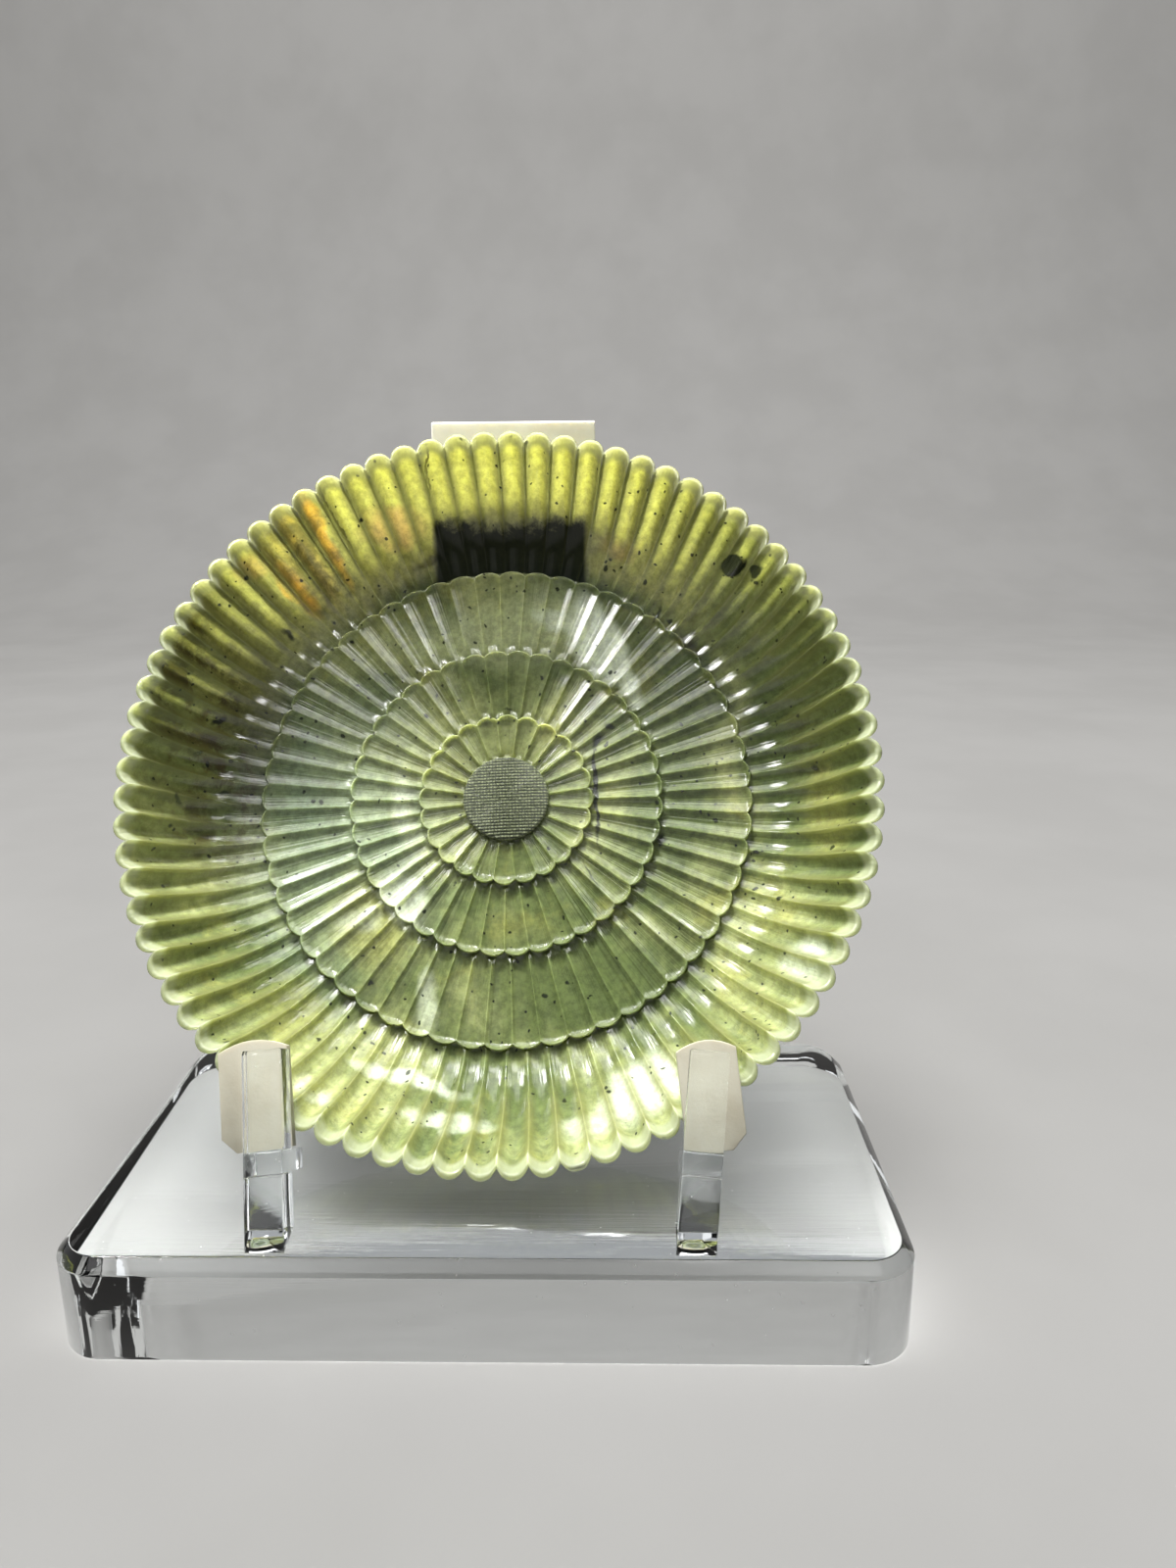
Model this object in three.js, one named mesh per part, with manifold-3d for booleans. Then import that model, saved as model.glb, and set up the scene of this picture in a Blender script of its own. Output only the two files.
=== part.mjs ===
// A shallow jade dish carved as a chrysanthemum, leaning back on a clear stand.
// Millimetres, +Z up, +X to the right and +Y away from someone facing the dish.
// The origin is the centre of the underside of the base plate.
//
// The dish is worked out in a frame of its own: x to the right, y up along the rim plane,
// z out of the hollow, with its origin at the centre of the rim plane.

import * as THREE from 'three';
import { mergeVertices } from 'three/addons/utils/BufferGeometryUtils.js';
import ManifoldModule from 'manifold-3d';

// Dish: petals, and sizes along the radius
const BOSS_RADIUS = 12;
const INNER_PETALS = 24;
const INNER_PETAL_LENGTH = 12.6;
const MIDDLE_PETALS = 40;
const MIDDLE_PETAL_LENGTH = 19.6;
const OUTER_PETALS = 56;
const OUTER_PETAL_LENGTH = 24.9;
const WALL_PETALS = 80;
const WALL_RUN = 30.9;
const INNER_TURN_DEG = 0;
const MIDDLE_TURN_DEG = -3.9;
const OUTER_TURN_DEG = -0.5;
const WALL_TURN_DEG = -1;

// Dish: depths and thicknesses
const HOLLOW_DEPTH = 27;
const BOSS_RISE = 0.9;
const BOSS_DOME = 0.7;
const PETAL_ROOT = 1.6;
const PETAL_STEP = 0.9;
const FLUTE_DEPTH = 0.8;
const TIP_DEPTH = 1.4;
const TIP_SLOPE_LENGTH = 2.2;
const RIM_TIP_DEPTH = 3.1;
const LIP_WIDTH = 2.2;
const LIP_DROP = 0.8;
const FLOOR_THICKNESS = 4.5;
const WALL_START_SLOPE_DEG = 10;
const WALL_END_SLOPE_DEG = 65;
const WALL_THINNED_AT = 0.62;
const FOOT_RADIUS = 62;
const FOOT_WIDTH = 3;
const FOOT_EDGE = 0.5;
const FOOT_HEIGHT = 1.6;
const FOOT_MARGIN = 4;

// Base plate
const BASE_WIDTH = 197;
const BASE_DEPTH = 108;
const BASE_THICKNESS = 25;
const BASE_CORNER_RADIUS = 12;
const BASE_CHAMFER = 3;

// How the dish stands
const LEAN_DEG = 28.7;
const RIM_ABOVE_BASE = 7;
const GAP = 0.3;

// Front prongs
const PRONG_INSET = 3.5;
const PRONG_WIDTH = 9;
const PRONG_DEPTH = 8.6;
const PRONG_ANGLE_DEG = 30.7;
const PRONG_SPLAY_DEG = 5.5;
const PRONG_ABOVE_RIM = 16.3;
const PRONG_CHAMFER = 1;
const SHELF_REACH = 5.5;
const SHELF_THICKNESS = 5;

// Front pads
const PAD_SHEET = 3;
const PAD_ABOVE_PRONG = 2.8;
const PAD_ARCH = 2.2;
const PAD_BEVEL = 3.5;
const LEFT_PAD_WIDTH = 16.7;
const LEFT_PAD_SHIFT = 4.2;
const LEFT_PAD_TURN_DEG = 2;
const RIGHT_PAD_WIDTH = 14.4;
const RIGHT_PAD_SHIFT = 1.6;
const RIGHT_PAD_TURN_DEG = -11;

// Back support
const POST_WIDTH = 14;
const POST_DEPTH = 9;
const POST_INSET = 1.4;
const POST_CLEARANCE = 1.5;
const HEAD_WIDTH = 44;
const HEAD_DEPTH = 6;
const HEAD_BELOW_TOP = 2;
const POST_LAP = 24;
const BACK_PAD_WIDTH = 48;
const BACK_PAD_HEIGHT = 44;
const BACK_PAD_SHEET = 4;
const BACK_PAD_ABOVE_RIM = 3;
const BACK_PAD_SHIFT = 1.2;

// Roundness of a petal's section and tip: the arc's radius over half the petal's width
const ARC_RADIUS = 1.2;

// Drawing steps, and the rows of points as parts of the way along
const BOSS_SHOULDER = 0.45;
const BOSS_SHOULDER_RISE = 0.8;
const INSIDE_ROWS = [0.07, 0.4, 0.72, 1];
const OUTSIDE_ROWS = [0.8, 0.45, 0];
const COLUMNS_PER_PETAL = 4;
const BACK_COLUMNS_PER_PETAL = 2;
const FOOT_COLUMNS = 64;
const CORNER_STEPS = 6;
const ARCH_STEPS = 8;

const wasm = await ManifoldModule();
wasm.setup();

const { PI, abs, cos, hypot, round, sin, sqrt, tan } = Math;
const radians = THREE.MathUtils.degToRad;
const clamp = THREE.MathUtils.clamp;

const RIM_RADIUS = BOSS_RADIUS + INNER_PETAL_LENGTH + MIDDLE_PETAL_LENGTH + OUTER_PETAL_LENGTH + WALL_RUN;
const FLOOR_Z = -HOLLOW_DEPTH;
const LEAN = radians(LEAN_DEG);

const JADE = new THREE.MeshStandardMaterial({ color: 0x7f9162, roughness: 0.3, metalness: 0 });
const ACRYLIC = new THREE.MeshStandardMaterial({ color: 0xdfe6e6, roughness: 0.08, metalness: 0 });
const PAD_WHITE = new THREE.MeshStandardMaterial({ color: 0xf0eee4, roughness: 0.7, metalness: 0 });

// A loop is a closed row of points with a key from 0 to 1 for each, which says how far round it is.

/** A loop of `count` points, the first at `start` radians, each placed by its angle. */
function roundLoop(count, start, place) {
  const step = (2 * PI) / count;
  const first = ((start % step) + step) % step;
  const angles = Array.from({ length: count }, (_, i) => first + i * step);
  return { points: angles.map(place), keys: angles.map((angle) => angle / (2 * PI)) };
}

/** The triangles between two loops that may hold different numbers of points. */
function stitch(inner, outer) {
  const triangles = [];
  let i = 0;
  let j = 0;
  const keyAt = (loop, k) => loop.keys[k % loop.keys.length] + Math.floor(k / loop.keys.length);
  while (i < inner.points.length || j < outer.points.length) {
    const innerTurn = j >= outer.points.length
      || (i < inner.points.length && keyAt(inner, i + 1) <= keyAt(outer, j + 1));
    const a = inner.points[i % inner.points.length];
    const b = outer.points[j % outer.points.length];
    if (innerTurn) {
      i += 1;
      triangles.push([a, b, inner.points[i % inner.points.length]]);
    } else {
      j += 1;
      triangles.push([a, b, outer.points[j % outer.points.length]]);
    }
  }
  return triangles;
}

/** The triangles that close a loop around its middle. */
function fan(loop, facesBack) {
  const middle = loop.points.reduce((sum, p) => sum.add(p), new THREE.Vector3());
  middle.divideScalar(loop.points.length);
  return loop.points.map((p, i) => {
    const next = loop.points[(i + 1) % loop.points.length];
    return facesBack ? [middle, next, p] : [middle, p, next];
  });
}

/** A closed surface through the loops, from the middle of the first to the middle of the last. */
function skin(loops) {
  const triangles = fan(loops[0], false);
  for (let k = 1; k < loops.length; k += 1) {
    triangles.push(...stitch(loops[k - 1], loops[k]));
  }
  triangles.push(...fan(loops[loops.length - 1], true));
  const geometry = new THREE.BufferGeometry().setFromPoints(triangles.flat());
  return mergeVertices(geometry, 1e-4);
}

/** A closed three.js geometry as a solid that can be joined and cut. */
function solid(geometry) {
  const bare = geometry.clone();
  bare.deleteAttribute('normal');
  bare.deleteAttribute('uv');
  const merged = mergeVertices(bare.index ? bare.toNonIndexed() : bare, 1e-4);
  return new wasm.Manifold(new wasm.Mesh({
    numProp: 3,
    vertProperties: new Float32Array(merged.attributes.position.array),
    triVerts: new Uint32Array(merged.index.array),
  }));
}

/** A solid as a three.js geometry. */
function geometryOf(body) {
  const { vertProperties, triVerts } = body.getMesh();
  const geometry = new THREE.BufferGeometry();
  geometry.setAttribute('position', new THREE.BufferAttribute(new Float32Array(vertProperties), 3));
  geometry.setIndex(new THREE.BufferAttribute(new Uint32Array(triVerts), 1));
  return geometry;
}

/** A box between two corners. */
function block(low, high) {
  const size = new THREE.Vector3(...high).sub(new THREE.Vector3(...low));
  const geometry = new THREE.BoxGeometry(size.x, size.y, size.z);
  return geometry.translate(low[0] + size.x / 2, low[1] + size.y / 2, low[2] + size.z / 2);
}

/** An outline drawn in (x, y), given depth from z = 0 upwards. */
function slab(outline, depth) {
  const shape = new THREE.Shape(outline.map(([x, y]) => new THREE.Vector2(x, y)));
  return new THREE.ExtrudeGeometry(shape, { depth, bevelEnabled: false, steps: 1 });
}

function named(name, geometry, material) {
  const mesh = new THREE.Mesh(geometry, material);
  mesh.name = name;
  return mesh;
}

/** One ring of petals: their angles, and how far an angle lies across its petal. */
class PetalRing {
  constructor(petals, turnDeg, innerRadius, length) {
    this.petals = petals;
    this.pitch = (2 * PI) / petals;
    this.centre = -PI / 2 + radians(turnDeg);
    this.innerRadius = innerRadius;
    this.length = length;
    this.tipRadius = innerRadius + length;
    this.tipFall = Math.min(TIP_DEPTH, length / 3);
  }

  /** 0 on a petal's middle line and 1 on the ridge between two petals. */
  across(angle) {
    const turns = (angle - this.centre) / this.pitch;
    return 2 * abs(turns - round(turns));
  }

  /** A loop with `perPetal` columns a petal, placed by angle and by how far across. */
  loop(perPetal, radiusAndHeight) {
    return roundLoop(this.petals * perPetal, this.centre, (angle) => {
      const [radius, z] = radiusAndHeight(this.across(angle));
      return new THREE.Vector3(radius * cos(angle), radius * sin(angle), z);
    });
  }
}

/** How far a petal's round section or tip has fallen at `across`, from 0 to 1: a circle's arc. */
function roundFall(across) {
  const sag = (x) => ARC_RADIUS - sqrt(ARC_RADIUS ** 2 - x ** 2);
  return sag(across) / sag(1);
}

/** The floor of a petal in a flat ring, `along` its length from 0 to 1. */
function petalTop(along, across) {
  return FLOOR_Z + PETAL_STEP * along - FLUTE_DEPTH * (1 - roundFall(across));
}

/** The wall's surface along the middle of a flute, and the way it faces, from foot to lip. */
function wallLine(along, footRadius) {
  const run = RIM_RADIUS - LIP_WIDTH - footRadius;
  const rise = HOLLOW_DEPTH + FLUTE_DEPTH;
  const startSlope = (tan(radians(WALL_START_SLOPE_DEG)) * run) / rise;
  const endSlope = (tan(radians(WALL_END_SLOPE_DEG)) * run) / rise;
  const s = along;
  const height = startSlope * (s ** 3 - 2 * s ** 2 + s)
    + THREE.MathUtils.smoothstep(s, 0, 1)
    + endSlope * (s ** 3 - s ** 2);
  const facing = radians(WALL_START_SLOPE_DEG) + (PI / 2 - radians(WALL_START_SLOPE_DEG)) * s ** 1.5;
  return { radius: footRadius + run * s, z: FLOOR_Z - FLUTE_DEPTH + rise * height, facing };
}

/** A point of the wall, `inset` behind its face, fluted as its place along and across says. */
function wallPoint(along, across, footRadius, inset) {
  const line = wallLine(along, footRadius);
  const flute = FLUTE_DEPTH + (RIM_TIP_DEPTH - FLUTE_DEPTH) * along ** 2;
  const out = inset - flute * roundFall(across);
  return [line.radius + out * sin(line.facing), line.z - out * cos(line.facing)];
}

/** How thick the wall is, from the floor's thickness down to the lip's. */
function wallThickness(along) {
  return FLOOR_THICKNESS + (LIP_WIDTH - FLOOR_THICKNESS) * clamp(along / WALL_THINNED_AT, 0, 1);
}

const innerRing = new PetalRing(INNER_PETALS, INNER_TURN_DEG, BOSS_RADIUS, INNER_PETAL_LENGTH);
const middleRing = new PetalRing(MIDDLE_PETALS, MIDDLE_TURN_DEG, innerRing.tipRadius, MIDDLE_PETAL_LENGTH);
const outerRing = new PetalRing(OUTER_PETALS, OUTER_TURN_DEG, middleRing.tipRadius, OUTER_PETAL_LENGTH);
const wallRing = new PetalRing(WALL_PETALS, WALL_TURN_DEG, outerRing.tipRadius, WALL_RUN);
const footOfWall = wallRing.innerRadius;
const stepFootZ = FLOOR_Z - FLUTE_DEPTH / 2;
const footRingRadius = Math.min(FOOT_RADIUS, footOfWall - FOOT_MARGIN);
const [, backZ] = wallPoint(0, 0, footOfWall, FLOOR_THICKNESS);

/** The hatched centre: a low dome with an upright edge. */
function bossLoops() {
  const edge = FLOOR_Z + BOSS_RISE;
  return [
    innerRing.loop(1, () => [BOSS_RADIUS * BOSS_SHOULDER, edge + BOSS_DOME * BOSS_SHOULDER_RISE]),
    innerRing.loop(1, () => [BOSS_RADIUS, edge]),
    innerRing.loop(1, () => [BOSS_RADIUS, stepFootZ]),
  ];
}

/** The scalloped outline of a ring's tips at one height. */
function tipLoop(ring, z) {
  return ring.loop(COLUMNS_PER_PETAL, (across) => (
    [ring.tipRadius - ring.tipFall * roundFall(across), z]));
}

/** A ring of spoon-shaped petals, up to the edge of its tips. */
function petalLoops(ring) {
  const slope = Math.min(TIP_SLOPE_LENGTH, ring.length / 3);
  const root = ring.innerRadius + Math.min(PETAL_ROOT, ring.length / 4);
  const rows = [root, ring.tipRadius - ring.tipFall - slope].map((radius) => (
    ring.loop(COLUMNS_PER_PETAL, (across) => [
      radius,
      petalTop((radius - ring.innerRadius) / ring.length, across),
    ])));
  return [...rows, tipLoop(ring, FLOOR_Z + PETAL_STEP)];
}

/** The fluted wall inside, the lip, the lobed wall outside, then the foot ring. */
function wallLoops() {
  const inside = INSIDE_ROWS.map((along) => (
    wallRing.loop(COLUMNS_PER_PETAL, (across) => wallPoint(along, across, footOfWall, 0))));
  const lip = wallRing.loop(COLUMNS_PER_PETAL, (across) => {
    const [radius] = wallPoint(1, across, footOfWall, LIP_WIDTH);
    return [radius, -LIP_DROP];
  });
  const outside = OUTSIDE_ROWS.map((along) => (
    wallRing.loop(BACK_COLUMNS_PER_PETAL, (across) => (
      wallPoint(along, across, footOfWall, wallThickness(along))))));
  return [...inside, lip, ...outside];
}

function footLoops() {
  const at = (radius, z) => roundLoop(FOOT_COLUMNS, 0, (angle) => (
    new THREE.Vector3(radius * cos(angle), radius * sin(angle), z)));
  return [
    at(footRingRadius, backZ),
    at(footRingRadius - FOOT_EDGE, backZ - FOOT_HEIGHT),
    at(footRingRadius - FOOT_WIDTH + FOOT_EDGE, backZ - FOOT_HEIGHT),
    at(footRingRadius - FOOT_WIDTH, backZ),
  ];
}

function dishGeometry() {
  return skin([
    ...bossLoops(),
    ...petalLoops(innerRing),
    tipLoop(innerRing, stepFootZ),
    ...petalLoops(middleRing),
    tipLoop(middleRing, stepFootZ),
    ...petalLoops(outerRing),
    tipLoop(outerRing, stepFootZ),
    ...wallLoops(),
    ...footLoops(),
  ]);
}

/** The dish's outer profile along its lobes, as (radius, z), from the rim to the foot ring. */
function outsideProfile(allowance) {
  const [rim, rimZ] = wallPoint(1, 0, footOfWall, LIP_WIDTH + allowance);
  return [
    [rim, rimZ],
    [rim, rimZ - LIP_DROP],
    ...OUTSIDE_ROWS.map((along) => wallPoint(along, 0, footOfWall, wallThickness(along) + allowance)),
    [footRingRadius + allowance, backZ - FOOT_HEIGHT - allowance],
  ];
}

/** The space that the dish takes, grown by the gap, for cutting what it rests on. */
function dishSpace() {
  const profile = outsideProfile(GAP);
  const rim = profile[0][0];
  const last = profile[profile.length - 1];
  const outline = [[0, last[1]], last, ...profile.slice(0, -1).reverse(), [rim, GAP], [0, GAP]];
  const lathe = new THREE.LatheGeometry(outline.map(([r, z]) => new THREE.Vector2(r, z)), 2 * WALL_PETALS);
  return lathe.rotateX(PI / 2);
}

// Where the dish stands, from the base plate up and from the prongs' feet back
const prongBack = GAP + PAD_SHEET + GAP;
const prongFront = prongBack + PRONG_DEPTH;
const rimCentreZ = BASE_THICKNESS + RIM_ABOVE_BASE + RIM_RADIUS * cos(LEAN);
const prongFootY = -BASE_DEPTH / 2 + PRONG_INSET;
const rimCentreY = prongFootY + (prongFront + (rimCentreZ - BASE_THICKNESS) * sin(LEAN)) / cos(LEAN);

const leaning = new THREE.Group();
leaning.position.set(0, rimCentreY, rimCentreZ);
leaning.rotation.x = PI / 2 - LEAN;
leaning.updateMatrixWorld(true);

/** A loop around a plate with round corners, `inset` from its full outline. */
function plateLoop(width, depth, corner, inset, z) {
  const radius = corner - inset;
  const corners = [[1, 1], [-1, 1], [-1, -1], [1, -1]];
  const points = corners.flatMap(([signX, signY], quarter) => (
    Array.from({ length: CORNER_STEPS + 1 }, (_, i) => {
      const angle = (PI / 2) * (quarter + i / CORNER_STEPS);
      return new THREE.Vector3(
        signX * (width / 2 - corner) + radius * cos(angle),
        signY * (depth / 2 - corner) + radius * sin(angle),
        z,
      );
    })));
  return { points, keys: points.map((_, i) => i / points.length) };
}

function baseGeometry() {
  const corner = Math.max(BASE_CORNER_RADIUS, BASE_CHAMFER + 1);
  const at = (inset, z) => plateLoop(BASE_WIDTH, BASE_DEPTH, corner, inset, z);
  return skin([
    at(BASE_CHAMFER, BASE_THICKNESS),
    at(0, BASE_THICKNESS - BASE_CHAMFER),
    at(0, 0),
  ]);
}

/** All space up to just above the base plate, in the frame of `group`. */
function underBase(group) {
  const reach = 4 * (BASE_WIDTH + BASE_DEPTH);
  const space = block([-reach, -reach, -reach], [reach, reach, BASE_THICKNESS + GAP]);
  return solid(space.applyMatrix4(group.matrixWorld.clone().invert()));
}

// How far the rim falls, along a prong, from its middle to its inner side
const rimSlope = tan(radians(PRONG_ANGLE_DEG + PRONG_SPLAY_DEG));
const shelfTop = -(PRONG_WIDTH / 2) * rimSlope - PAD_SHEET - 2 * GAP;

/** The frame of a prong: its origin is on the rim's circle, and +Y goes up along the bar. */
function prongFrame(side) {
  const frame = new THREE.Group();
  const angle = radians(PRONG_ANGLE_DEG);
  frame.position.set(side * RIM_RADIUS * sin(angle), -RIM_RADIUS * cos(angle), 0);
  frame.rotation.z = -side * radians(PRONG_SPLAY_DEG);
  leaning.add(frame);
  leaning.updateMatrixWorld(true);
  return frame;
}

/** A bar with a shelf behind it. Its side outline is drawn as (z, y) and given its width along x. */
function prongGeometry(frame) {
  const foot = -3 * (BASE_THICKNESS + RIM_ABOVE_BASE + RIM_RADIUS);
  const outline = [
    [prongBack, foot],
    [prongFront, foot],
    [prongFront, PRONG_ABOVE_RIM - PRONG_CHAMFER],
    [prongFront - PRONG_CHAMFER, PRONG_ABOVE_RIM],
    [prongBack, PRONG_ABOVE_RIM],
    [prongBack, shelfTop],
    [-SHELF_REACH, shelfTop],
    [-SHELF_REACH, shelfTop - SHELF_THICKNESS],
    [prongBack, shelfTop - SHELF_THICKNESS],
  ];
  const bar = slab(outline, PRONG_WIDTH);
  bar.translate(0, 0, -PRONG_WIDTH / 2);
  bar.rotateY(-PI / 2);
  return geometryOf(solid(bar).subtract(underBase(frame)));
}

/** A sheet between the bar and the rim, folded back over the shelf to form a flap. */
function padGeometry(frame, side, width, shift, turnDeg) {
  const low = shelfTop + GAP;
  const top = PRONG_ABOVE_RIM + PAD_ABOVE_PRONG;
  const middle = (low + top) / 2;
  const half = width / 2;
  const rise = top - middle;
  const arch = Array.from({ length: ARCH_STEPS + 1 }, (_, i) => {
    const across = 1 - (2 * i) / ARCH_STEPS;
    return [across * half, rise - PAD_ARCH * across ** 2];
  });
  const corners = side > 0
    ? [[-half, -rise], [half - PAD_BEVEL, -rise], [half, PAD_BEVEL - rise]]
    : [[-half, PAD_BEVEL - rise], [-half + PAD_BEVEL, -rise], [half, -rise]];
  const sheet = slab([...corners, ...arch], PAD_SHEET);
  sheet.rotateZ(-side * radians(turnDeg)).translate(side * shift, middle, GAP);
  const flap = block(
    [side * shift - half + PAD_BEVEL, low, -SHELF_REACH],
    [side * shift + half - PAD_BEVEL, low + PAD_SHEET, GAP + PAD_SHEET / 2],
  );
  const reach = PRONG_WIDTH / 2 + GAP;
  const shelf = block([-reach, low - width, -2 * SHELF_REACH], [reach, low, prongFront]);
  const dish = solid(dishSpace().applyMatrix4(frame.matrix.clone().invert()));
  return geometryOf(solid(sheet).add(solid(flap)).subtract(solid(shelf)).subtract(dish));
}

/** The dish's outside line above the base's middle line, as (y, z) in the stand's frame. */
function dishBackLine() {
  return outsideProfile(0).map(([radius, z]) => {
    const point = new THREE.Vector3(0, radius, z).applyMatrix4(leaning.matrixWorld);
    return [point.y, point.z];
  });
}

const backLine = dishBackLine();
const rimTopZ = backLine[0][1];
const rearmostY = Math.max(...backLine.map(([y]) => y));
const backPadTop = rimTopZ + BACK_PAD_ABOVE_RIM;
const headTop = backPadTop - HEAD_BELOW_TOP;
const headFront = rearmostY + GAP + BACK_PAD_SHEET + GAP;

/** The back post leans so that its front face passes behind the dish and under the head plate. */
function postGeometry() {
  const footFront = BASE_DEPTH / 2 - POST_INSET - POST_DEPTH;
  const headLow = backPadTop - BACK_PAD_HEIGHT + HEAD_BELOW_TOP;
  const postTop = headLow + POST_LAP;
  const lean = Math.max(...[...backLine, [headFront, headLow]].map(([y, z]) => {
    const up = z - BASE_THICKNESS;
    const back = y - footFront;
    return Math.atan2(back, up) + POST_CLEARANCE / hypot(back, up);
  }));
  const length = (2 * postTop) / cos(lean);
  const post = block([-POST_WIDTH / 2, 0, -POST_DEPTH * 2], [POST_WIDTH / 2, POST_DEPTH, length]);
  post.rotateX(-lean).translate(0, footFront, BASE_THICKNESS);
  const reach = 4 * (BASE_WIDTH + BASE_DEPTH);
  const overPost = block([-reach, -reach, postTop], [reach, reach, reach]);
  const head = block([-HEAD_WIDTH / 2, headFront, headLow], [HEAD_WIDTH / 2, headFront + HEAD_DEPTH, headTop]);
  const ground = new THREE.Group();
  ground.updateMatrixWorld(true);
  const trimmed = solid(post).subtract(solid(overPost)).subtract(underBase(ground));
  return geometryOf(trimmed.add(solid(head)));
}

function backPadGeometry() {
  return block(
    [BACK_PAD_SHIFT - BACK_PAD_WIDTH / 2, rearmostY + GAP, backPadTop - BACK_PAD_HEIGHT],
    [BACK_PAD_SHIFT + BACK_PAD_WIDTH / 2, rearmostY + GAP + BACK_PAD_SHEET, backPadTop],
  );
}

const stand = new THREE.Group();
leaning.add(named('dish', dishGeometry(), JADE));
const sides = [
  { name: 'left', side: -1, width: LEFT_PAD_WIDTH, shift: LEFT_PAD_SHIFT, turnDeg: LEFT_PAD_TURN_DEG },
  { name: 'right', side: 1, width: RIGHT_PAD_WIDTH, shift: RIGHT_PAD_SHIFT, turnDeg: RIGHT_PAD_TURN_DEG },
];
for (const { name, side, width, shift, turnDeg } of sides) {
  const frame = prongFrame(side);
  frame.add(named(`prong_${name}`, prongGeometry(frame), ACRYLIC));
  frame.add(named(`pad_${name}`, padGeometry(frame, side, width, shift, turnDeg), PAD_WHITE));
}
stand.add(named('base_plate', baseGeometry(), ACRYLIC));
stand.add(named('back_post', postGeometry(), ACRYLIC));
stand.add(named('pad_back', backPadGeometry(), PAD_WHITE));
stand.add(leaning);

export default stand;
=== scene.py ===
"""A carved jade chrysanthemum dish leaning back on a clear stand.

Metres, +Z up, +X to the right and +Y away from someone facing the dish. The origin is the centre of the
underside of the base plate. The dish is shaped in a frame of its own, in millimetres: x to the right, y up
along the rim plane and z out of the hollow, with its origin at the centre of the rim plane.
"""

import logging
from collections.abc import Callable, Iterable, Sequence
from dataclasses import dataclass, field
from enum import Enum
from math import atan2, ceil, cos, hypot, pi, radians, sin, sqrt, tan

import bmesh
import bpy
from mathutils import Matrix, Vector, noise


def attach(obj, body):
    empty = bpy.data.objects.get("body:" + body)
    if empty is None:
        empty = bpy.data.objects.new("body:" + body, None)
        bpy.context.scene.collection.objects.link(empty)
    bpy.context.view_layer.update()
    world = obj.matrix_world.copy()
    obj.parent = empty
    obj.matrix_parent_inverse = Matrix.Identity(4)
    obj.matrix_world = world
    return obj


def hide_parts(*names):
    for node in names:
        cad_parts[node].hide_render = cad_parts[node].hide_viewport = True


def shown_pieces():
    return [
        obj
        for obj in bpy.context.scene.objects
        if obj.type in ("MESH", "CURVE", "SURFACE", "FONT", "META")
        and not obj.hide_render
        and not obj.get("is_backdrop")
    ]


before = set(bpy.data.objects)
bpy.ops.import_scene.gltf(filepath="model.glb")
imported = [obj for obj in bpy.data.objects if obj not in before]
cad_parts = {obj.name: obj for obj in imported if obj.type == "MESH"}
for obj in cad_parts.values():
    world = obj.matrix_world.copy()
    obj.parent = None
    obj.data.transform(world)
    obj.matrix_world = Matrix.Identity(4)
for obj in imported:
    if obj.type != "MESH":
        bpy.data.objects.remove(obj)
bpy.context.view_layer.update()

LOG = logging.getLogger("jade_dish")
MM = 0.001
ROOT = "root"
SPIN_STEPS = 64
TINY = 1e-6

LEAN = radians(28.7)
RIM_CENTRE = Vector((0.0, 15.2635, 119.7146))
DISH_TURN = Matrix.Rotation(pi / 2 - LEAN, 4, "X")
DISH_TO_WORLD = Matrix.Translation(RIM_CENTRE * MM) @ DISH_TURN @ Matrix.Scale(MM, 4)


class Slot(Enum):
    """The record's material slots."""

    JADE = "jade"
    ACRYLIC = "acrylic"
    PAD = "pad_white"


# Small tools


def new_object(name: str, mesh: bpy.types.Mesh) -> bpy.types.Object:
    """Links a mesh to the scene as an object at the origin.

    Args:
        name: The piece's name.
        mesh: The mesh, in metres and in place.

    Returns:
        The new object.
    """
    piece = bpy.data.objects.new(name, mesh)
    bpy.context.scene.collection.objects.link(piece)
    return piece


def mesh_from(bm: bmesh.types.BMesh, name: str) -> bpy.types.Mesh:
    """Turns a bmesh into a smooth mesh whose faces point outwards, and frees the bmesh.

    Args:
        bm: The bmesh.
        name: The mesh's name.

    Returns:
        The mesh.
    """
    bmesh.ops.recalc_face_normals(bm, faces=bm.faces)
    for face in bm.faces:
        face.smooth = True
    mesh = bpy.data.meshes.new(name)
    bm.to_mesh(mesh)
    bm.free()
    return mesh


def place(piece: bpy.types.Object, slot: Slot, material: bpy.types.Material, *nodes: str) -> bpy.types.Object:
    """Dresses a finished piece and ties it to the frame.

    Args:
        piece: The piece, in place.
        slot: The record's material slot; not used.
        material: Its finish.
        nodes: The CAD nodes that it stands for.

    Returns:
        The piece.
    """
    piece.data.materials.clear()
    piece.data.materials.append(material)
    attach(piece, ROOT)
    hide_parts(*nodes)
    LOG.info("%s: %d faces", piece.name, len(piece.data.polygons))
    return piece


def smooth_step(low: float, high: float, value: float) -> float:
    """0 below `low`, 1 above `high` and a smooth rise between."""
    share = min(1.0, max(0.0, (value - low) / (high - low)))
    return share * share * (3 - 2 * share)


def mix(a: float, b: float, share: float) -> float:
    """The value `share` of the way from a to b."""
    return a + (b - a) * share


# The dish


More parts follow.
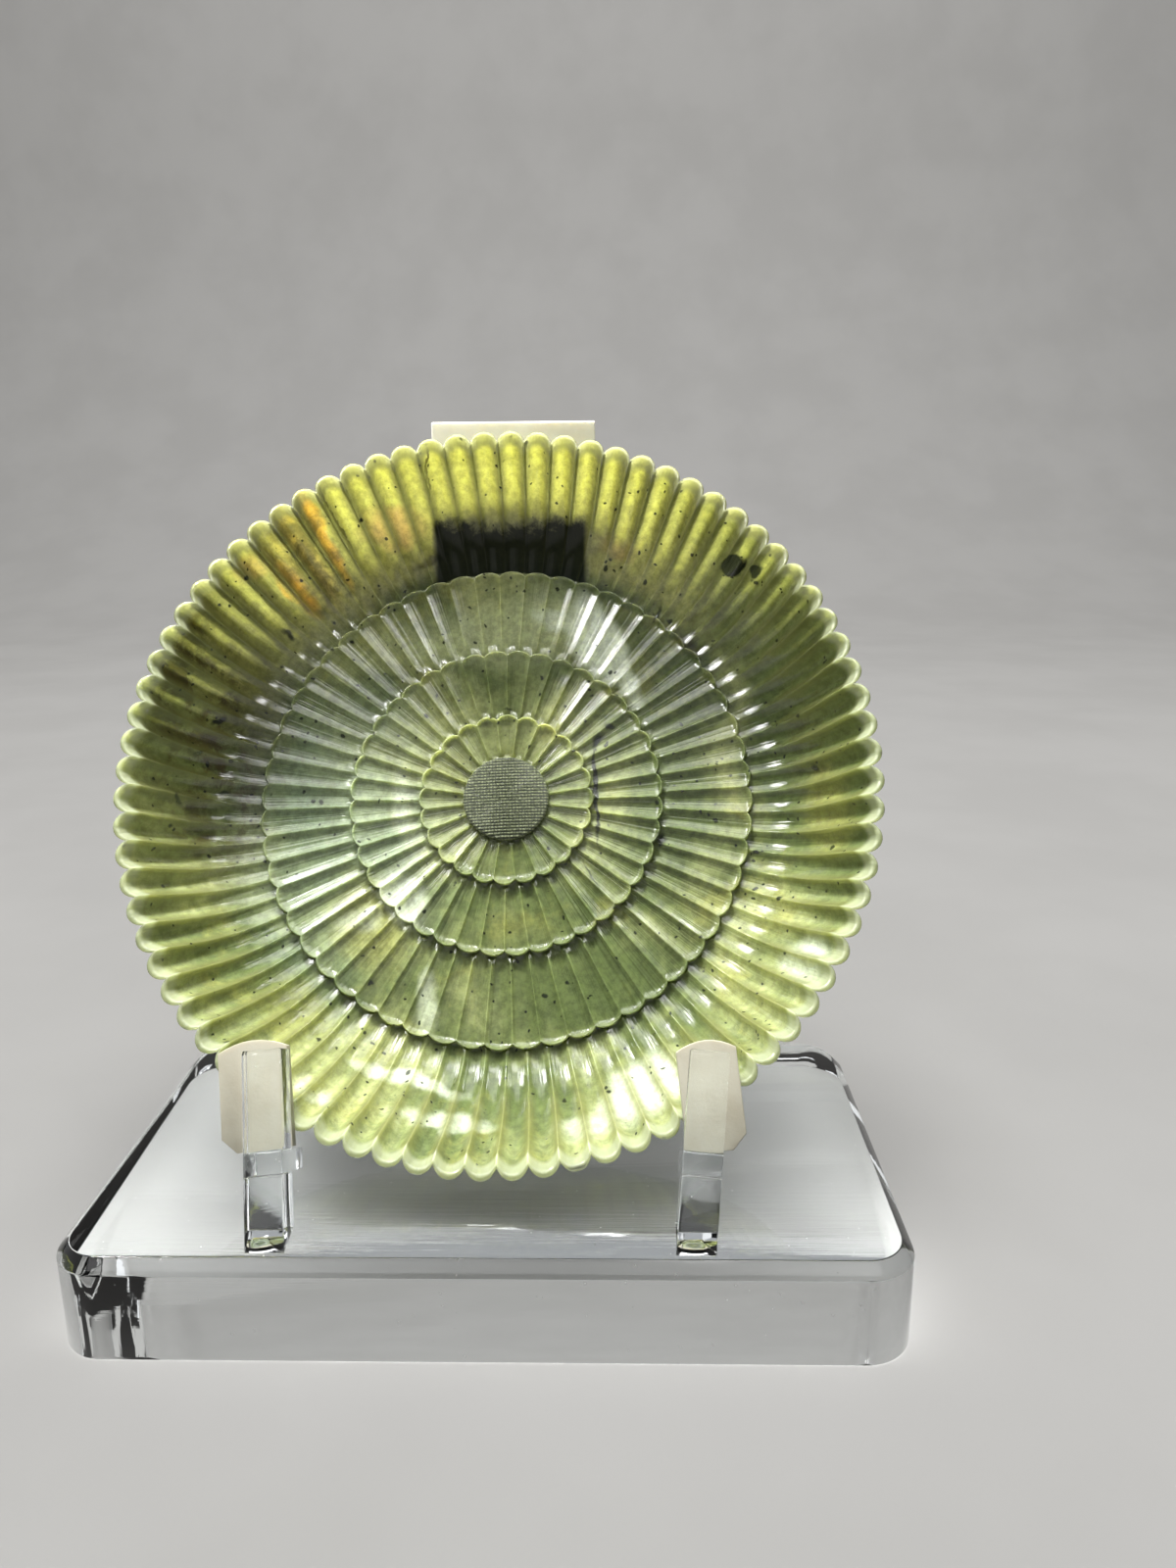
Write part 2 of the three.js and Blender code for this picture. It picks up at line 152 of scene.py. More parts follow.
@dataclass(frozen=True)
class Carving:
    """The sizes that all parts of the carving share, in millimetres."""

    boss_radius: float = 12.0
    boss_rise: float = 0.9
    boss_dome: float = 0.7
    hollow_depth: float = 27.0
    petal_step: float = 0.9
    flute_depth: float = 0.8
    tip_depth: float = 1.4
    tip_slope: float = 2.6
    rim_tip_depth: float = 3.1
    rim_radius: float = 100.0
    lip_width: float = 2.2
    lip_bead: float = 1.05
    floor_thickness: float = 4.5
    thinned_at: float = 0.62
    start_slope: float = radians(10)
    end_slope: float = radians(65)
    facing_power: float = 1.5
    foot_radius: float = 62.0
    foot_width: float = 3.0
    foot_height: float = 1.6
    foot_round: float = 0.4
    foot_fillet: float = 0.25
    arc_radius: float = 1.2
    rim_arc_radius: float = 1.06
    step_share: float = 0.75
    step_gap: float = 0.12
    tuck: float = 0.1
    rib_height: float = 0.1
    rib_from: float = 0.9
    tip_lift: float = 0.93
    wall_top: float = 0.975
    wall_back_top: float = 0.93
    wall_row_power: float = 1.15
    wall_softness: float = 0.55
    back_softness: float = 0.35

    @property
    def floor(self) -> float:
        """The height of the ridges where a ring of petals begins."""
        return -self.hollow_depth

    @property
    def step_foot(self) -> float:
        """The height of the foot of the step under a ring's tips."""
        return self.floor - self.step_share * self.flute_depth

    def round_fall(self, across: float, reach: float | None = None) -> float:
        """How far an arc has fallen at `across`, from 0 in the middle to 1 at the ridge.

        Args:
            across: 0 in the petal's middle and 1 on its ridge.
            reach: The arc's radius over half the petal's width, if it isn't the petals' usual one.

        Returns:
            The fall, from 0 to 1.
        """
        reach = reach or self.arc_radius
        return (reach - sqrt(reach * reach - across * across)) / (reach - sqrt(reach * reach - 1))


@dataclass
class PetalRing:
    """One ring of petals, with its columns of points drawn closer together near the ridges."""

    carving: Carving
    petals: int
    turn: float
    inner: float
    length: float
    columns: int
    crowding: float = 0.35

    @property
    def tip(self) -> float:
        """The radius of the tips."""
        return self.inner + self.length

    @property
    def pitch(self) -> float:
        """The angle of one petal."""
        return 2 * pi / self.petals

    @property
    def centre(self) -> float:
        """The angle of the first petal's middle line."""
        return -pi / 2 + self.turn

    def crowd(self, angle: float) -> float:
        """Moves an evenly spaced angle towards the nearest ridge.

        Args:
            angle: An angle of the even spacing.

        Returns:
            The angle at which the column is drawn.
        """
        turns = (angle - self.centre) / self.pitch
        middle = round(turns)
        across = 2 * (turns - middle)
        across *= 1 + self.crowding * (1 - across * across)
        return self.centre + (middle + across / 2) * self.pitch

    def across(self, angle: float) -> float:
        """0 on a petal's middle line and 1 on the ridge between two petals."""
        turns = (angle - self.centre) / self.pitch
        return min(1.0, 2 * abs(turns - round(turns)))

    def outline(self, angle: float) -> float:
        """The radius of the scalloped outline of the tips."""
        return self.tip - self.carving.tip_depth * self.carving.round_fall(self.across(angle))


Surface = Callable[[int, float], tuple[float, float, float]]


@dataclass
class JadeDish:
    """The dish, spun ring by ring from chains of points that then take the carved shape."""

    carving: Carving = field(default_factory=Carving)
    hatch_pitch: float = 0.88
    hatch_depth: float = 0.2
    hatch_turn: float = radians(2.5)
    hatch_cells: int = 3
    floor_rows: int = 8
    tip_rows: Sequence[float] = (1.0, 0.8, 0.62, 0.46, 0.32, 0.2)
    wall_rows: int = 26
    back_rows: int = 12
    foot_columns: int = 240

    def __post_init__(self) -> None:
        """Sets out the rings from the middle to the rim."""
        shape = self.carving
        self.inner_ring = PetalRing(shape, 24, 0.0, shape.boss_radius, 12.6, 16)
        self.middle_ring = PetalRing(shape, 40, radians(-3.9), self.inner_ring.tip, 19.6, 12)
        self.outer_ring = PetalRing(shape, 56, radians(-0.5), self.middle_ring.tip, 24.9, 12)
        self.wall_ring = PetalRing(shape, 80, radians(-1), self.outer_ring.tip, 30.9, 12)

    # Surfaces

    def petal_top(self, along: float, across: float) -> float:
        """The height of a flat petal's floor.

        Args:
            along: The part of its length, from 0 to 1.
            across: 0 in its middle and 1 on its ridge.

        Returns:
            The height.
        """
        shape = self.carving
        rib = shape.rib_height * smooth_step(shape.rib_from, 1.0, across)
        fall = shape.round_fall(across)
        return shape.floor + shape.petal_step * along - shape.flute_depth * (1 - fall) + rib

    def wall_line(self, along: float) -> tuple[float, float, float]:
        """The wall's surface along the middle of a flute.

        Args:
            along: The part of the way from the foot of the wall to the lip.

        Returns:
            The radius, the height and the angle that the wall faces.
        """
        shape = self.carving
        foot = self.wall_ring.inner
        run = shape.rim_radius - shape.lip_width - foot
        rise = shape.hollow_depth + shape.flute_depth
        start = tan(shape.start_slope) * run / rise
        end = tan(shape.end_slope) * run / rise
        s = max(0.0, along)
        height = (s ** 3 - 2 * s ** 2 + s) * start + (3 * s ** 2 - 2 * s ** 3) + (s ** 3 - s ** 2) * end
        facing = mix(shape.start_slope, pi / 2, s ** shape.facing_power)
        return foot + run * along, shape.floor - shape.flute_depth + rise * height, facing

    def wall_point(self, along: float, across: float, inset: float) -> tuple[float, float]:
        """A point of the fluted wall.

        Args:
            along: The part of the way up the wall.
            across: 0 in the middle of a flute and 1 on its ridge.
            inset: How far behind the face the point lies.

        Returns:
            The radius and the height.
        """
        shape = self.carving
        radius, z, facing = self.wall_line(along)
        s = max(0.0, along)
        depth = shape.flute_depth + (shape.rim_tip_depth - shape.flute_depth) * s * s
        reach = mix(shape.arc_radius, shape.rim_arc_radius, smooth_step(0.5, 1.0, s))
        sharp = shape.round_fall(across, reach)
        soft = (1 - cos(pi * across)) / 2
        softness = shape.wall_softness * smooth_step(0.3, 0.75, s) * (1 - smooth_step(0.93, 1.0, s))
        if inset > 0:
            softness = shape.back_softness
        out = inset - depth * mix(sharp, soft, softness)
        return radius + out * sin(facing), z - out * cos(facing)

    def wall_thickness(self, along: float) -> float:
        """How thick the wall is at a part of the way up."""
        shape = self.carving
        share = min(1.0, max(0.0, along / shape.thinned_at))
        return mix(shape.floor_thickness, shape.lip_width, share)

    def ring_surface(self, ring: PetalRing, inner: PetalRing | None) -> tuple[int, Surface]:
        """The rows of one flat ring, from the last ring's step over the tips to its own step.

        Args:
            ring: The ring.
            inner: The ring inside it, or nothing where the centre is.

        Returns:
            The number of rows and the surface.
        """
        shape = self.carving
        bead = ((0.42, 0.06), (0.2, 0.05), (0.05, -0.03), (-0.04, -0.16), (-0.05, None))
        floor_rows, tips = self.floor_rows, self.tip_rows

        def curl(share: float) -> float:
            return 1 - sqrt(max(0.0, 1 - (1 - share) ** 2))

        def surface(row: int, angle: float) -> tuple[float, float, float]:
            across = ring.across(angle)
            outline = ring.outline(angle)
            root = (inner.outline(angle) if inner else shape.boss_radius) + shape.step_gap
            spoon = outline - shape.tip_slope
            top = shape.floor + shape.petal_step
            if row < floor_rows:
                radius = mix(root, spoon, row / floor_rows)
                z = self.petal_top((radius - ring.inner) / ring.length, across)
                if row == 0:
                    z = min(z, shape.step_foot + shape.tuck)
            elif row < floor_rows + len(tips):
                share = tips[row - floor_rows]
                radius = outline - share * shape.tip_slope
                base = self.petal_top((radius - ring.inner) / ring.length, across)
                z = mix(base, top, shape.tip_lift * curl(share) / curl(tips[-1]))
            else:
                back, rise = bead[row - floor_rows - len(tips)]
                radius = outline - back
                z = shape.step_foot if rise is None else top + rise
            return radius, angle, z

        return floor_rows + len(tips) + len(bead), surface

    def wall_surface(self) -> tuple[int, Surface]:
        """The rows of the wall: up the inside, over the lip and down the outside."""
        shape = self.carving
        ring = self.wall_ring
        bead = shape.lip_bead
        arc = [radians(a) for a in (165, 135, 105, 75, 45, 15, -20)]
        inside, back = self.wall_rows, self.back_rows
        run = shape.rim_radius - shape.lip_width - ring.inner

        def surface(row: int, angle: float) -> tuple[float, float, float]:
            across = ring.across(angle)
            if row < inside:
                share = row / (inside - 1)
                start = (self.outer_ring.outline(angle) + shape.step_gap - ring.inner) / run
                along = mix(start, shape.wall_top, share ** shape.wall_row_power)
                radius, z = self.wall_point(along, across, 0.0)
                if row == 0:
                    z = min(z, shape.step_foot + shape.tuck)
            elif row < inside + len(arc):
                turn = arc[row - inside]
                notch = shape.rim_tip_depth * shape.round_fall(across, shape.rim_arc_radius)
                centre = shape.rim_radius - bead - notch
                radius = centre + bead * cos(turn)
                z = -bead + bead * sin(turn)
            else:
                share = (row - inside - len(arc) + 1) / back
                along = mix(shape.wall_back_top, 0.0, share)
                radius, z = self.wall_point(along, across, self.wall_thickness(along))
            return radius, angle, z

        return inside + len(arc) + back, surface

    def foot_surface(self) -> tuple[int, Surface]:
        """The rows of the underside: the foot ring and the flat middle, ending at the axis."""
        shape = self.carving
        _, under = self.wall_point(0.0, 0.0, shape.floor_thickness)
        outer, height = shape.foot_radius, shape.foot_height
        inner = outer - shape.foot_width
        fillet, edge = shape.foot_fillet, shape.foot_round
        rows = (
            (outer + 3.0, 0.0), (outer + 1.0, 0.02), (outer + fillet, fillet), (outer, height - edge),
            (outer - edge, height), (inner + edge, height), (inner, height - edge), (inner - fillet, fillet),
            (inner - 1.0, 0.02), (inner - 4.0, 0.0), (inner - 20.0, 0.0), (shape.boss_radius, 0.0),
            (0.0, 0.0),
        )

        def surface(row: int, angle: float) -> tuple[float, float, float]:
            radius, depth = rows[row]
            return radius, angle, under - depth

        return len(rows), surface

    # Meshes

    @staticmethod
    def spin_sheet(
        bm: bmesh.types.BMesh, rows: int, columns: int, crowd: Callable[[float], float] | None,
        start: float, surface: Surface,
    ) -> list[list[bmesh.types.BMVert]]:
        """Spins a chain of points into a round sheet and gives each point its carved place.

        Args:
            bm: The bmesh that takes the sheet.
            rows: The number of points in the chain.
            columns: The number of steps round.
            crowd: What moves the columns towards the ridges, if anything.
            start: The angle of the first column.
            surface: The radius, angle and height for a row and an angle.

        Returns:
            The points, row by row.
        """
        sheet = bmesh.new()
        spoke = Vector((cos(start), sin(start), 0.0))
        chain = [sheet.verts.new((row + 1) * spoke) for row in range(rows)]
        edges = [sheet.edges.new(pair) for pair in zip(chain, chain[1:])]
        doublings = 0
        while columns % (2 << doublings) == 0 and columns >> doublings > SPIN_STEPS:
            doublings += 1
        sweep = 2 * pi / (1 << doublings)
        bmesh.ops.spin(
            sheet, geom=chain + edges, cent=(0, 0, 0), axis=(0, 0, 1), dvec=(0, 0, 0),
            angle=sweep, steps=columns >> doublings, use_merge=doublings == 0, use_duplicate=False,
        )
        for _ in range(doublings):
            copy = bmesh.ops.duplicate(sheet, geom=sheet.verts[:] + sheet.edges[:] + sheet.faces[:])["geom"]
            moved = [item for item in copy if isinstance(item, bmesh.types.BMVert)]
            bmesh.ops.rotate(sheet, cent=(0, 0, 0), matrix=Matrix.Rotation(sweep, 3, "Z"), verts=moved)
            sweep *= 2
        bmesh.ops.remove_doubles(sheet, verts=sheet.verts, dist=1e-4)
        row_of = []
        for vert in sheet.verts:
            row = round(hypot(vert.co.x, vert.co.y)) - 1
            angle = atan2(vert.co.y, vert.co.x)
            radius, angle, z = surface(row, crowd(angle) if crowd else angle)
            vert.co = Vector((radius * cos(angle), radius * sin(angle), z))
            row_of.append(row)
        grid: list[list[bmesh.types.BMVert]] = [[] for _ in range(rows)]
        for row, vert in zip(row_of, JadeDish.pour(sheet, bm)):
            grid[row].append(vert)
        return grid

    @staticmethod
    def pour(part: bmesh.types.BMesh, bm: bmesh.types.BMesh) -> list[bmesh.types.BMVert]:
        """Adds one bmesh to another and frees it.

        Args:
            part: The bmesh to add.
            bm: The bmesh that takes it, from which nothing has been deleted.

        Returns:
            The added points, in their old order.
        """
        step = bpy.data.meshes.new("part")
        part.to_mesh(step)
        part.free()
        before = len(bm.verts)
        bm.from_mesh(step)
        bpy.data.meshes.remove(step)
        bm.verts.ensure_lookup_table()
        return bm.verts[before:]

    @staticmethod
    def loop_edges(loop: Iterable[bmesh.types.BMVert]) -> list[bmesh.types.BMEdge]:
        """The open edges among a loop's points."""
        points = set(loop)
        edges = {edge for vert in points for edge in vert.link_edges}
        return [edge for edge in edges if len(edge.link_faces) < 2 and all(v in points for v in edge.verts)]

    def hatched_boss(self, dish: bmesh.types.BMesh) -> list[bmesh.types.BMVert]:
        """Cuts a round, domed and cross-hatched disc out of a grid and gives it an upright edge.

        Args:
            dish: The bmesh that takes the disc.

        Returns:
            The points of the edge's foot.
        """
        bm = bmesh.new()
        shape = self.carving
        cell = self.hatch_pitch / self.hatch_cells
        cells = self.hatch_cells * 2 * ceil(shape.boss_radius / self.hatch_pitch)
        half = cells * cell / 2
        made = bmesh.ops.create_grid(bm, x_segments=cells, y_segments=cells, size=half)["verts"]
        edge_radius = shape.boss_radius - 0.18
        outside = [vert for vert in made if vert.co.length > edge_radius - 0.4 * cell]
        bmesh.ops.delete(bm, geom=outside, context="VERTS")
        loose = [vert for vert in made if vert.is_valid and not vert.link_faces]
        bmesh.ops.delete(bm, geom=loose, context="VERTS")
        kept = [vert for vert in made if vert.is_valid]
        border = [vert for vert in kept if any(edge.is_boundary for edge in vert.link_edges)]
        middle = shape.floor + shape.boss_rise
        for vert in kept:
            column = round((vert.co.x + half) / cell)
            line = round((vert.co.y + half) / cell)
            groove = 1.0 * (line % self.hatch_cells == 0) + 0.7 * (column % self.hatch_cells == 0)
            dome = 1 - (vert.co.length / shape.boss_radius) ** 2
            vert.co.z = middle + shape.boss_dome * dome - self.hatch_depth * min(1.0, groove)
        for vert in border:
            flat = Vector((vert.co.x, vert.co.y)).normalized() * edge_radius
            vert.co = Vector((flat.x, flat.y, middle - 0.1))
        bmesh.ops.rotate(bm, cent=(0, 0, 0), matrix=Matrix.Rotation(self.hatch_turn, 3, "Z"), verts=kept)
        edges = [edge for edge in bm.edges if edge.is_boundary]
        loop = border
        for radius, z in ((shape.boss_radius, middle - 0.3), (shape.boss_radius + 0.04, shape.step_foot)):
            geom = bmesh.ops.extrude_edge_only(bm, edges=edges)["geom"]
            loop = [item for item in geom if isinstance(item, bmesh.types.BMVert)]
            edges = [item for item in geom if isinstance(item, bmesh.types.BMEdge) and item.is_boundary]
            for vert in loop:
                flat = Vector((vert.co.x, vert.co.y)).normalized() * radius
                vert.co = Vector((flat.x, flat.y, z))
        ordered = sorted(loop, key=lambda v: atan2(v.co.y, v.co.x))
        for place_in_loop, vert in enumerate(ordered):
            angle = -pi + 2 * pi * place_in_loop / len(ordered)
            vert.co.x, vert.co.y = radius * cos(angle), radius * sin(angle)
        bm.verts.index_update()
        places = [vert.index for vert in ordered]
        added = self.pour(bm, dish)
        return [added[index] for index in places]

    def build(self) -> bpy.types.Mesh:
        """Builds the whole dish as one closed mesh, in metres and in place."""
        bm = bmesh.new()
        last = self.hatched_boss(bm)
        rings = (self.inner_ring, self.middle_ring, self.outer_ring)
        bands: list[tuple[int, int, PetalRing | None, Surface]] = []
        inner: PetalRing | None = None
        for ring in rings:
            rows, surface = self.ring_surface(ring, inner)
            bands.append((rows, ring.petals * ring.columns, ring, surface))
            inner = ring
        rows, surface = self.wall_surface()
        bands.append((rows, self.wall_ring.petals * self.wall_ring.columns, self.wall_ring, surface))
        rows, surface = self.foot_surface()
        bands.append((rows, self.foot_columns, None, surface))
        for rows, columns, ring, surface in bands:
            start = ring.centre if ring else 0.0
            grid = self.spin_sheet(bm, rows, columns, ring.crowd if ring else None, start, surface)
            bmesh.ops.bridge_loops(bm, edges=self.loop_edges(last) + self.loop_edges(grid[0]))
            last = grid[-1]
        bmesh.ops.remove_doubles(bm, verts=last, dist=1e-4)
        self.chip_rim(bm)
        bmesh.ops.transform(bm, matrix=DISH_TO_WORLD, verts=bm.verts)
        return mesh_from(bm, "jade_dish")

    def chip_rim(self, bm: bmesh.types.BMesh) -> None:
        """Presses the small chips and nicks into the lip."""
        chips = (
            (1.8, -98.6, 1.3, 0.45),
            (21.6, -97.2, 1.7, 0.7),
            (61.0, -78.0, 1.0, 0.3),
            (-33.5, 93.5, 1.1, 0.35),
        )
        for x, y, reach, depth in chips:
            spot = Vector((x, y, -0.3))
            for vert in bm.verts:
                gap = (vert.co - spot).length
                if gap < reach:
                    share = (1 - (gap / reach) ** 2) ** 2
                    inward = Vector((-x, -y, -60.0)).normalized()
                    vert.co += inward * depth * share * (0.7 + 0.6 * noise.noise(vert.co * 2.0))


# Node tools


@dataclass
class Nodes:
    """Short calls that add nodes to one material and link them."""

    material: bpy.types.Material

    def __post_init__(self) -> None:
        """Clears the material's tree and gives it an output."""
        self.material.use_nodes = True
        self.tree = self.material.node_tree
        self.tree.nodes.clear()
        self.output = self.tree.nodes.new("ShaderNodeOutputMaterial")

    def add(self, kind: str, **settings: object) -> bpy.types.Node:
        """Adds a node and sets its properties."""
        node = self.tree.nodes.new(kind)
        for key, value in settings.items():
            setattr(node, key, value)
        return node

    def feed(self, socket: bpy.types.NodeSocket, value: object) -> None:
        """Links a socket to `value`, or sets it where value is a plain number or colour."""
        if isinstance(value, bpy.types.NodeSocket):
            self.tree.links.new(value, socket)
        elif value is not None:
            socket.default_value = value

    def math(self, operation: str, *values: object) -> bpy.types.NodeSocket:
        """A Math node's result."""
        node = self.add("ShaderNodeMath", operation=operation)
        for socket, value in zip(node.inputs, values):
            self.feed(socket, value)
        return node.outputs[0]

    def vector(self, operation: str, output: str, *values: object) -> bpy.types.NodeSocket:
        """One output of a Vector Math node."""
        node = self.add("ShaderNodeVectorMath", operation=operation)
        for socket, value in zip(node.inputs, values):
            self.feed(socket, value)
        return node.outputs[output]

    def position(self) -> bpy.types.NodeSocket:
        """The point's place in metres."""
        return self.add("ShaderNodeTexCoord").outputs["Object"]

    def mapping(
        self, vector: object, location: Sequence[float] = (0, 0, 0), turn: Sequence[float] = (0, 0, 0),
        scale: Sequence[float] = (1, 1, 1),
    ) -> bpy.types.NodeSocket:
        """A vector scaled, turned and moved."""
        node = self.add("ShaderNodeMapping")
        self.feed(node.inputs["Vector"], vector)
        node.inputs["Location"].default_value = location
        node.inputs["Rotation"].default_value = turn
        node.inputs["Scale"].default_value = scale
        return node.outputs[0]

    def noise(self, vector: object, scale: float, detail: float = 3.0, roughness: float = 0.55,
              output: str = "Fac") -> bpy.types.NodeSocket:
        """Noise from 0 to 1."""
        node = self.add("ShaderNodeTexNoise")
        self.feed(node.inputs["Vector"], vector)
        node.inputs["Scale"].default_value = scale
        node.inputs["Detail"].default_value = detail
        node.inputs["Roughness"].default_value = roughness
        return node.outputs[output]

    def spread(self, vector: object, scale: float, amount: float) -> bpy.types.NodeSocket:
        """A vector pushed about by noise."""
        push = self.noise(vector, scale, 3.0, 0.5, "Color")
        moved = self.vector("MULTIPLY_ADD", "Vector", push, (amount, amount, amount), vector)
        return self.vector("SUBTRACT", "Vector", moved, (amount / 2, amount / 2, amount / 2))

    def fade(self, value: object, low: float, high: float, to_low: float = 0.0, to_high: float = 1.0
             ) -> bpy.types.NodeSocket:
        """A smooth change from `to_low` at `low` to `to_high` at `high`."""
        node = self.add("ShaderNodeMapRange", interpolation_type="SMOOTHSTEP")
        self.feed(node.inputs["Value"], value)
        for name, number in (("From Min", low), ("From Max", high), ("To Min", to_low), ("To Max", to_high)):
            node.inputs[name].default_value = number
        return node.outputs["Result"]

    def blend(self, share: object, a: object, b: object) -> bpy.types.NodeSocket:
        """A mix of two colours."""
        node = self.add("ShaderNodeMix", data_type="RGBA")
        self.feed(node.inputs[0], share)
        self.feed(node.inputs[6], a)
        self.feed(node.inputs[7], b)
        return node.outputs[2]

    def blot(self, vector: object, patch: "Patch") -> bpy.types.NodeSocket:
        """The mask of a patch that goes right through the stone.

        Args:
            vector: The place on the dish, in metres.
            patch: The patch.

        Returns:
            The patch's strength inside it and 0 outside.
        """
        turn = radians(patch.turn)
        along = Vector((cos(turn), sin(turn), 0.0)) / (patch.half_length * MM)
        across = Vector((-sin(turn), cos(turn), 0.0)) / (patch.half_width * MM)
        centre = Vector((patch.x, patch.y, 0.0)) * MM
        oval = self.add("ShaderNodeCombineXYZ")
        self.feed(oval.inputs[0], self.vector("DOT_PRODUCT", "Value", vector, along))
        self.feed(oval.inputs[1], self.vector("DOT_PRODUCT", "Value", vector, across))
        middle = (centre.dot(along), centre.dot(across), 0.0)
        reach = self.vector("DISTANCE", "Value", oval.outputs[0], middle)
        return self.fade(reach, 1 - patch.soft, 1.0, patch.strength, 0.0)

    def blots(self, vector: object, patches: Sequence["Patch"]) -> bpy.types.NodeSocket:
        """One mask of patches laid over each other, so that few values wait for their turn in the shader.

        Args:
            vector: The place on the dish, in metres.
            patches: The patches.

        Returns:
            How much of the stone below the patches hide.
        """
        whole = self.blot(vector, patches[0])
        for patch in patches[1:]:
            bare = self.math("SUBTRACT", 1.0, whole)
            whole = self.math("MULTIPLY_ADD", bare, self.blot(vector, patch), whole)
        return whole

    def ridges(self, angle: object, ring: "PetalRing", low: float, high: float) -> bpy.types.NodeSocket:
        """A mask of a ring's ridges: 0 where a petal is less than `low` across and 1 beyond `high`."""
        turns = self.math("MULTIPLY_ADD", angle, 1 / ring.pitch, -ring.centre / ring.pitch)
        return self.fade(self.math("PINGPONG", turns, 0.5), low / 2, high / 2)

    def bump(self, height: object, distance: float, strength: float = 1.0, normal: object = None
             ) -> bpy.types.NodeSocket:
        """A bumped normal."""
        node = self.add("ShaderNodeBump")
        self.feed(node.inputs["Height"], height)
        node.inputs["Distance"].default_value = distance
        node.inputs["Strength"].default_value = strength
        self.feed(node.inputs["Normal"], normal)
        return node.outputs[0]


Colour = tuple[float, float, float, float]


def colour(red: float, green: float, blue: float) -> Colour:
    """An opaque colour."""
    return (red, green, blue, 1.0)


@dataclass(frozen=True)
class Patch:
    """An oval patch of another colour, in the dish's frame, in millimetres and degrees."""

    x: float
    y: float
    half_length: float
    half_width: float
    turn: float = 0.0
    strength: float = 1.0
    soft: float = 0.7


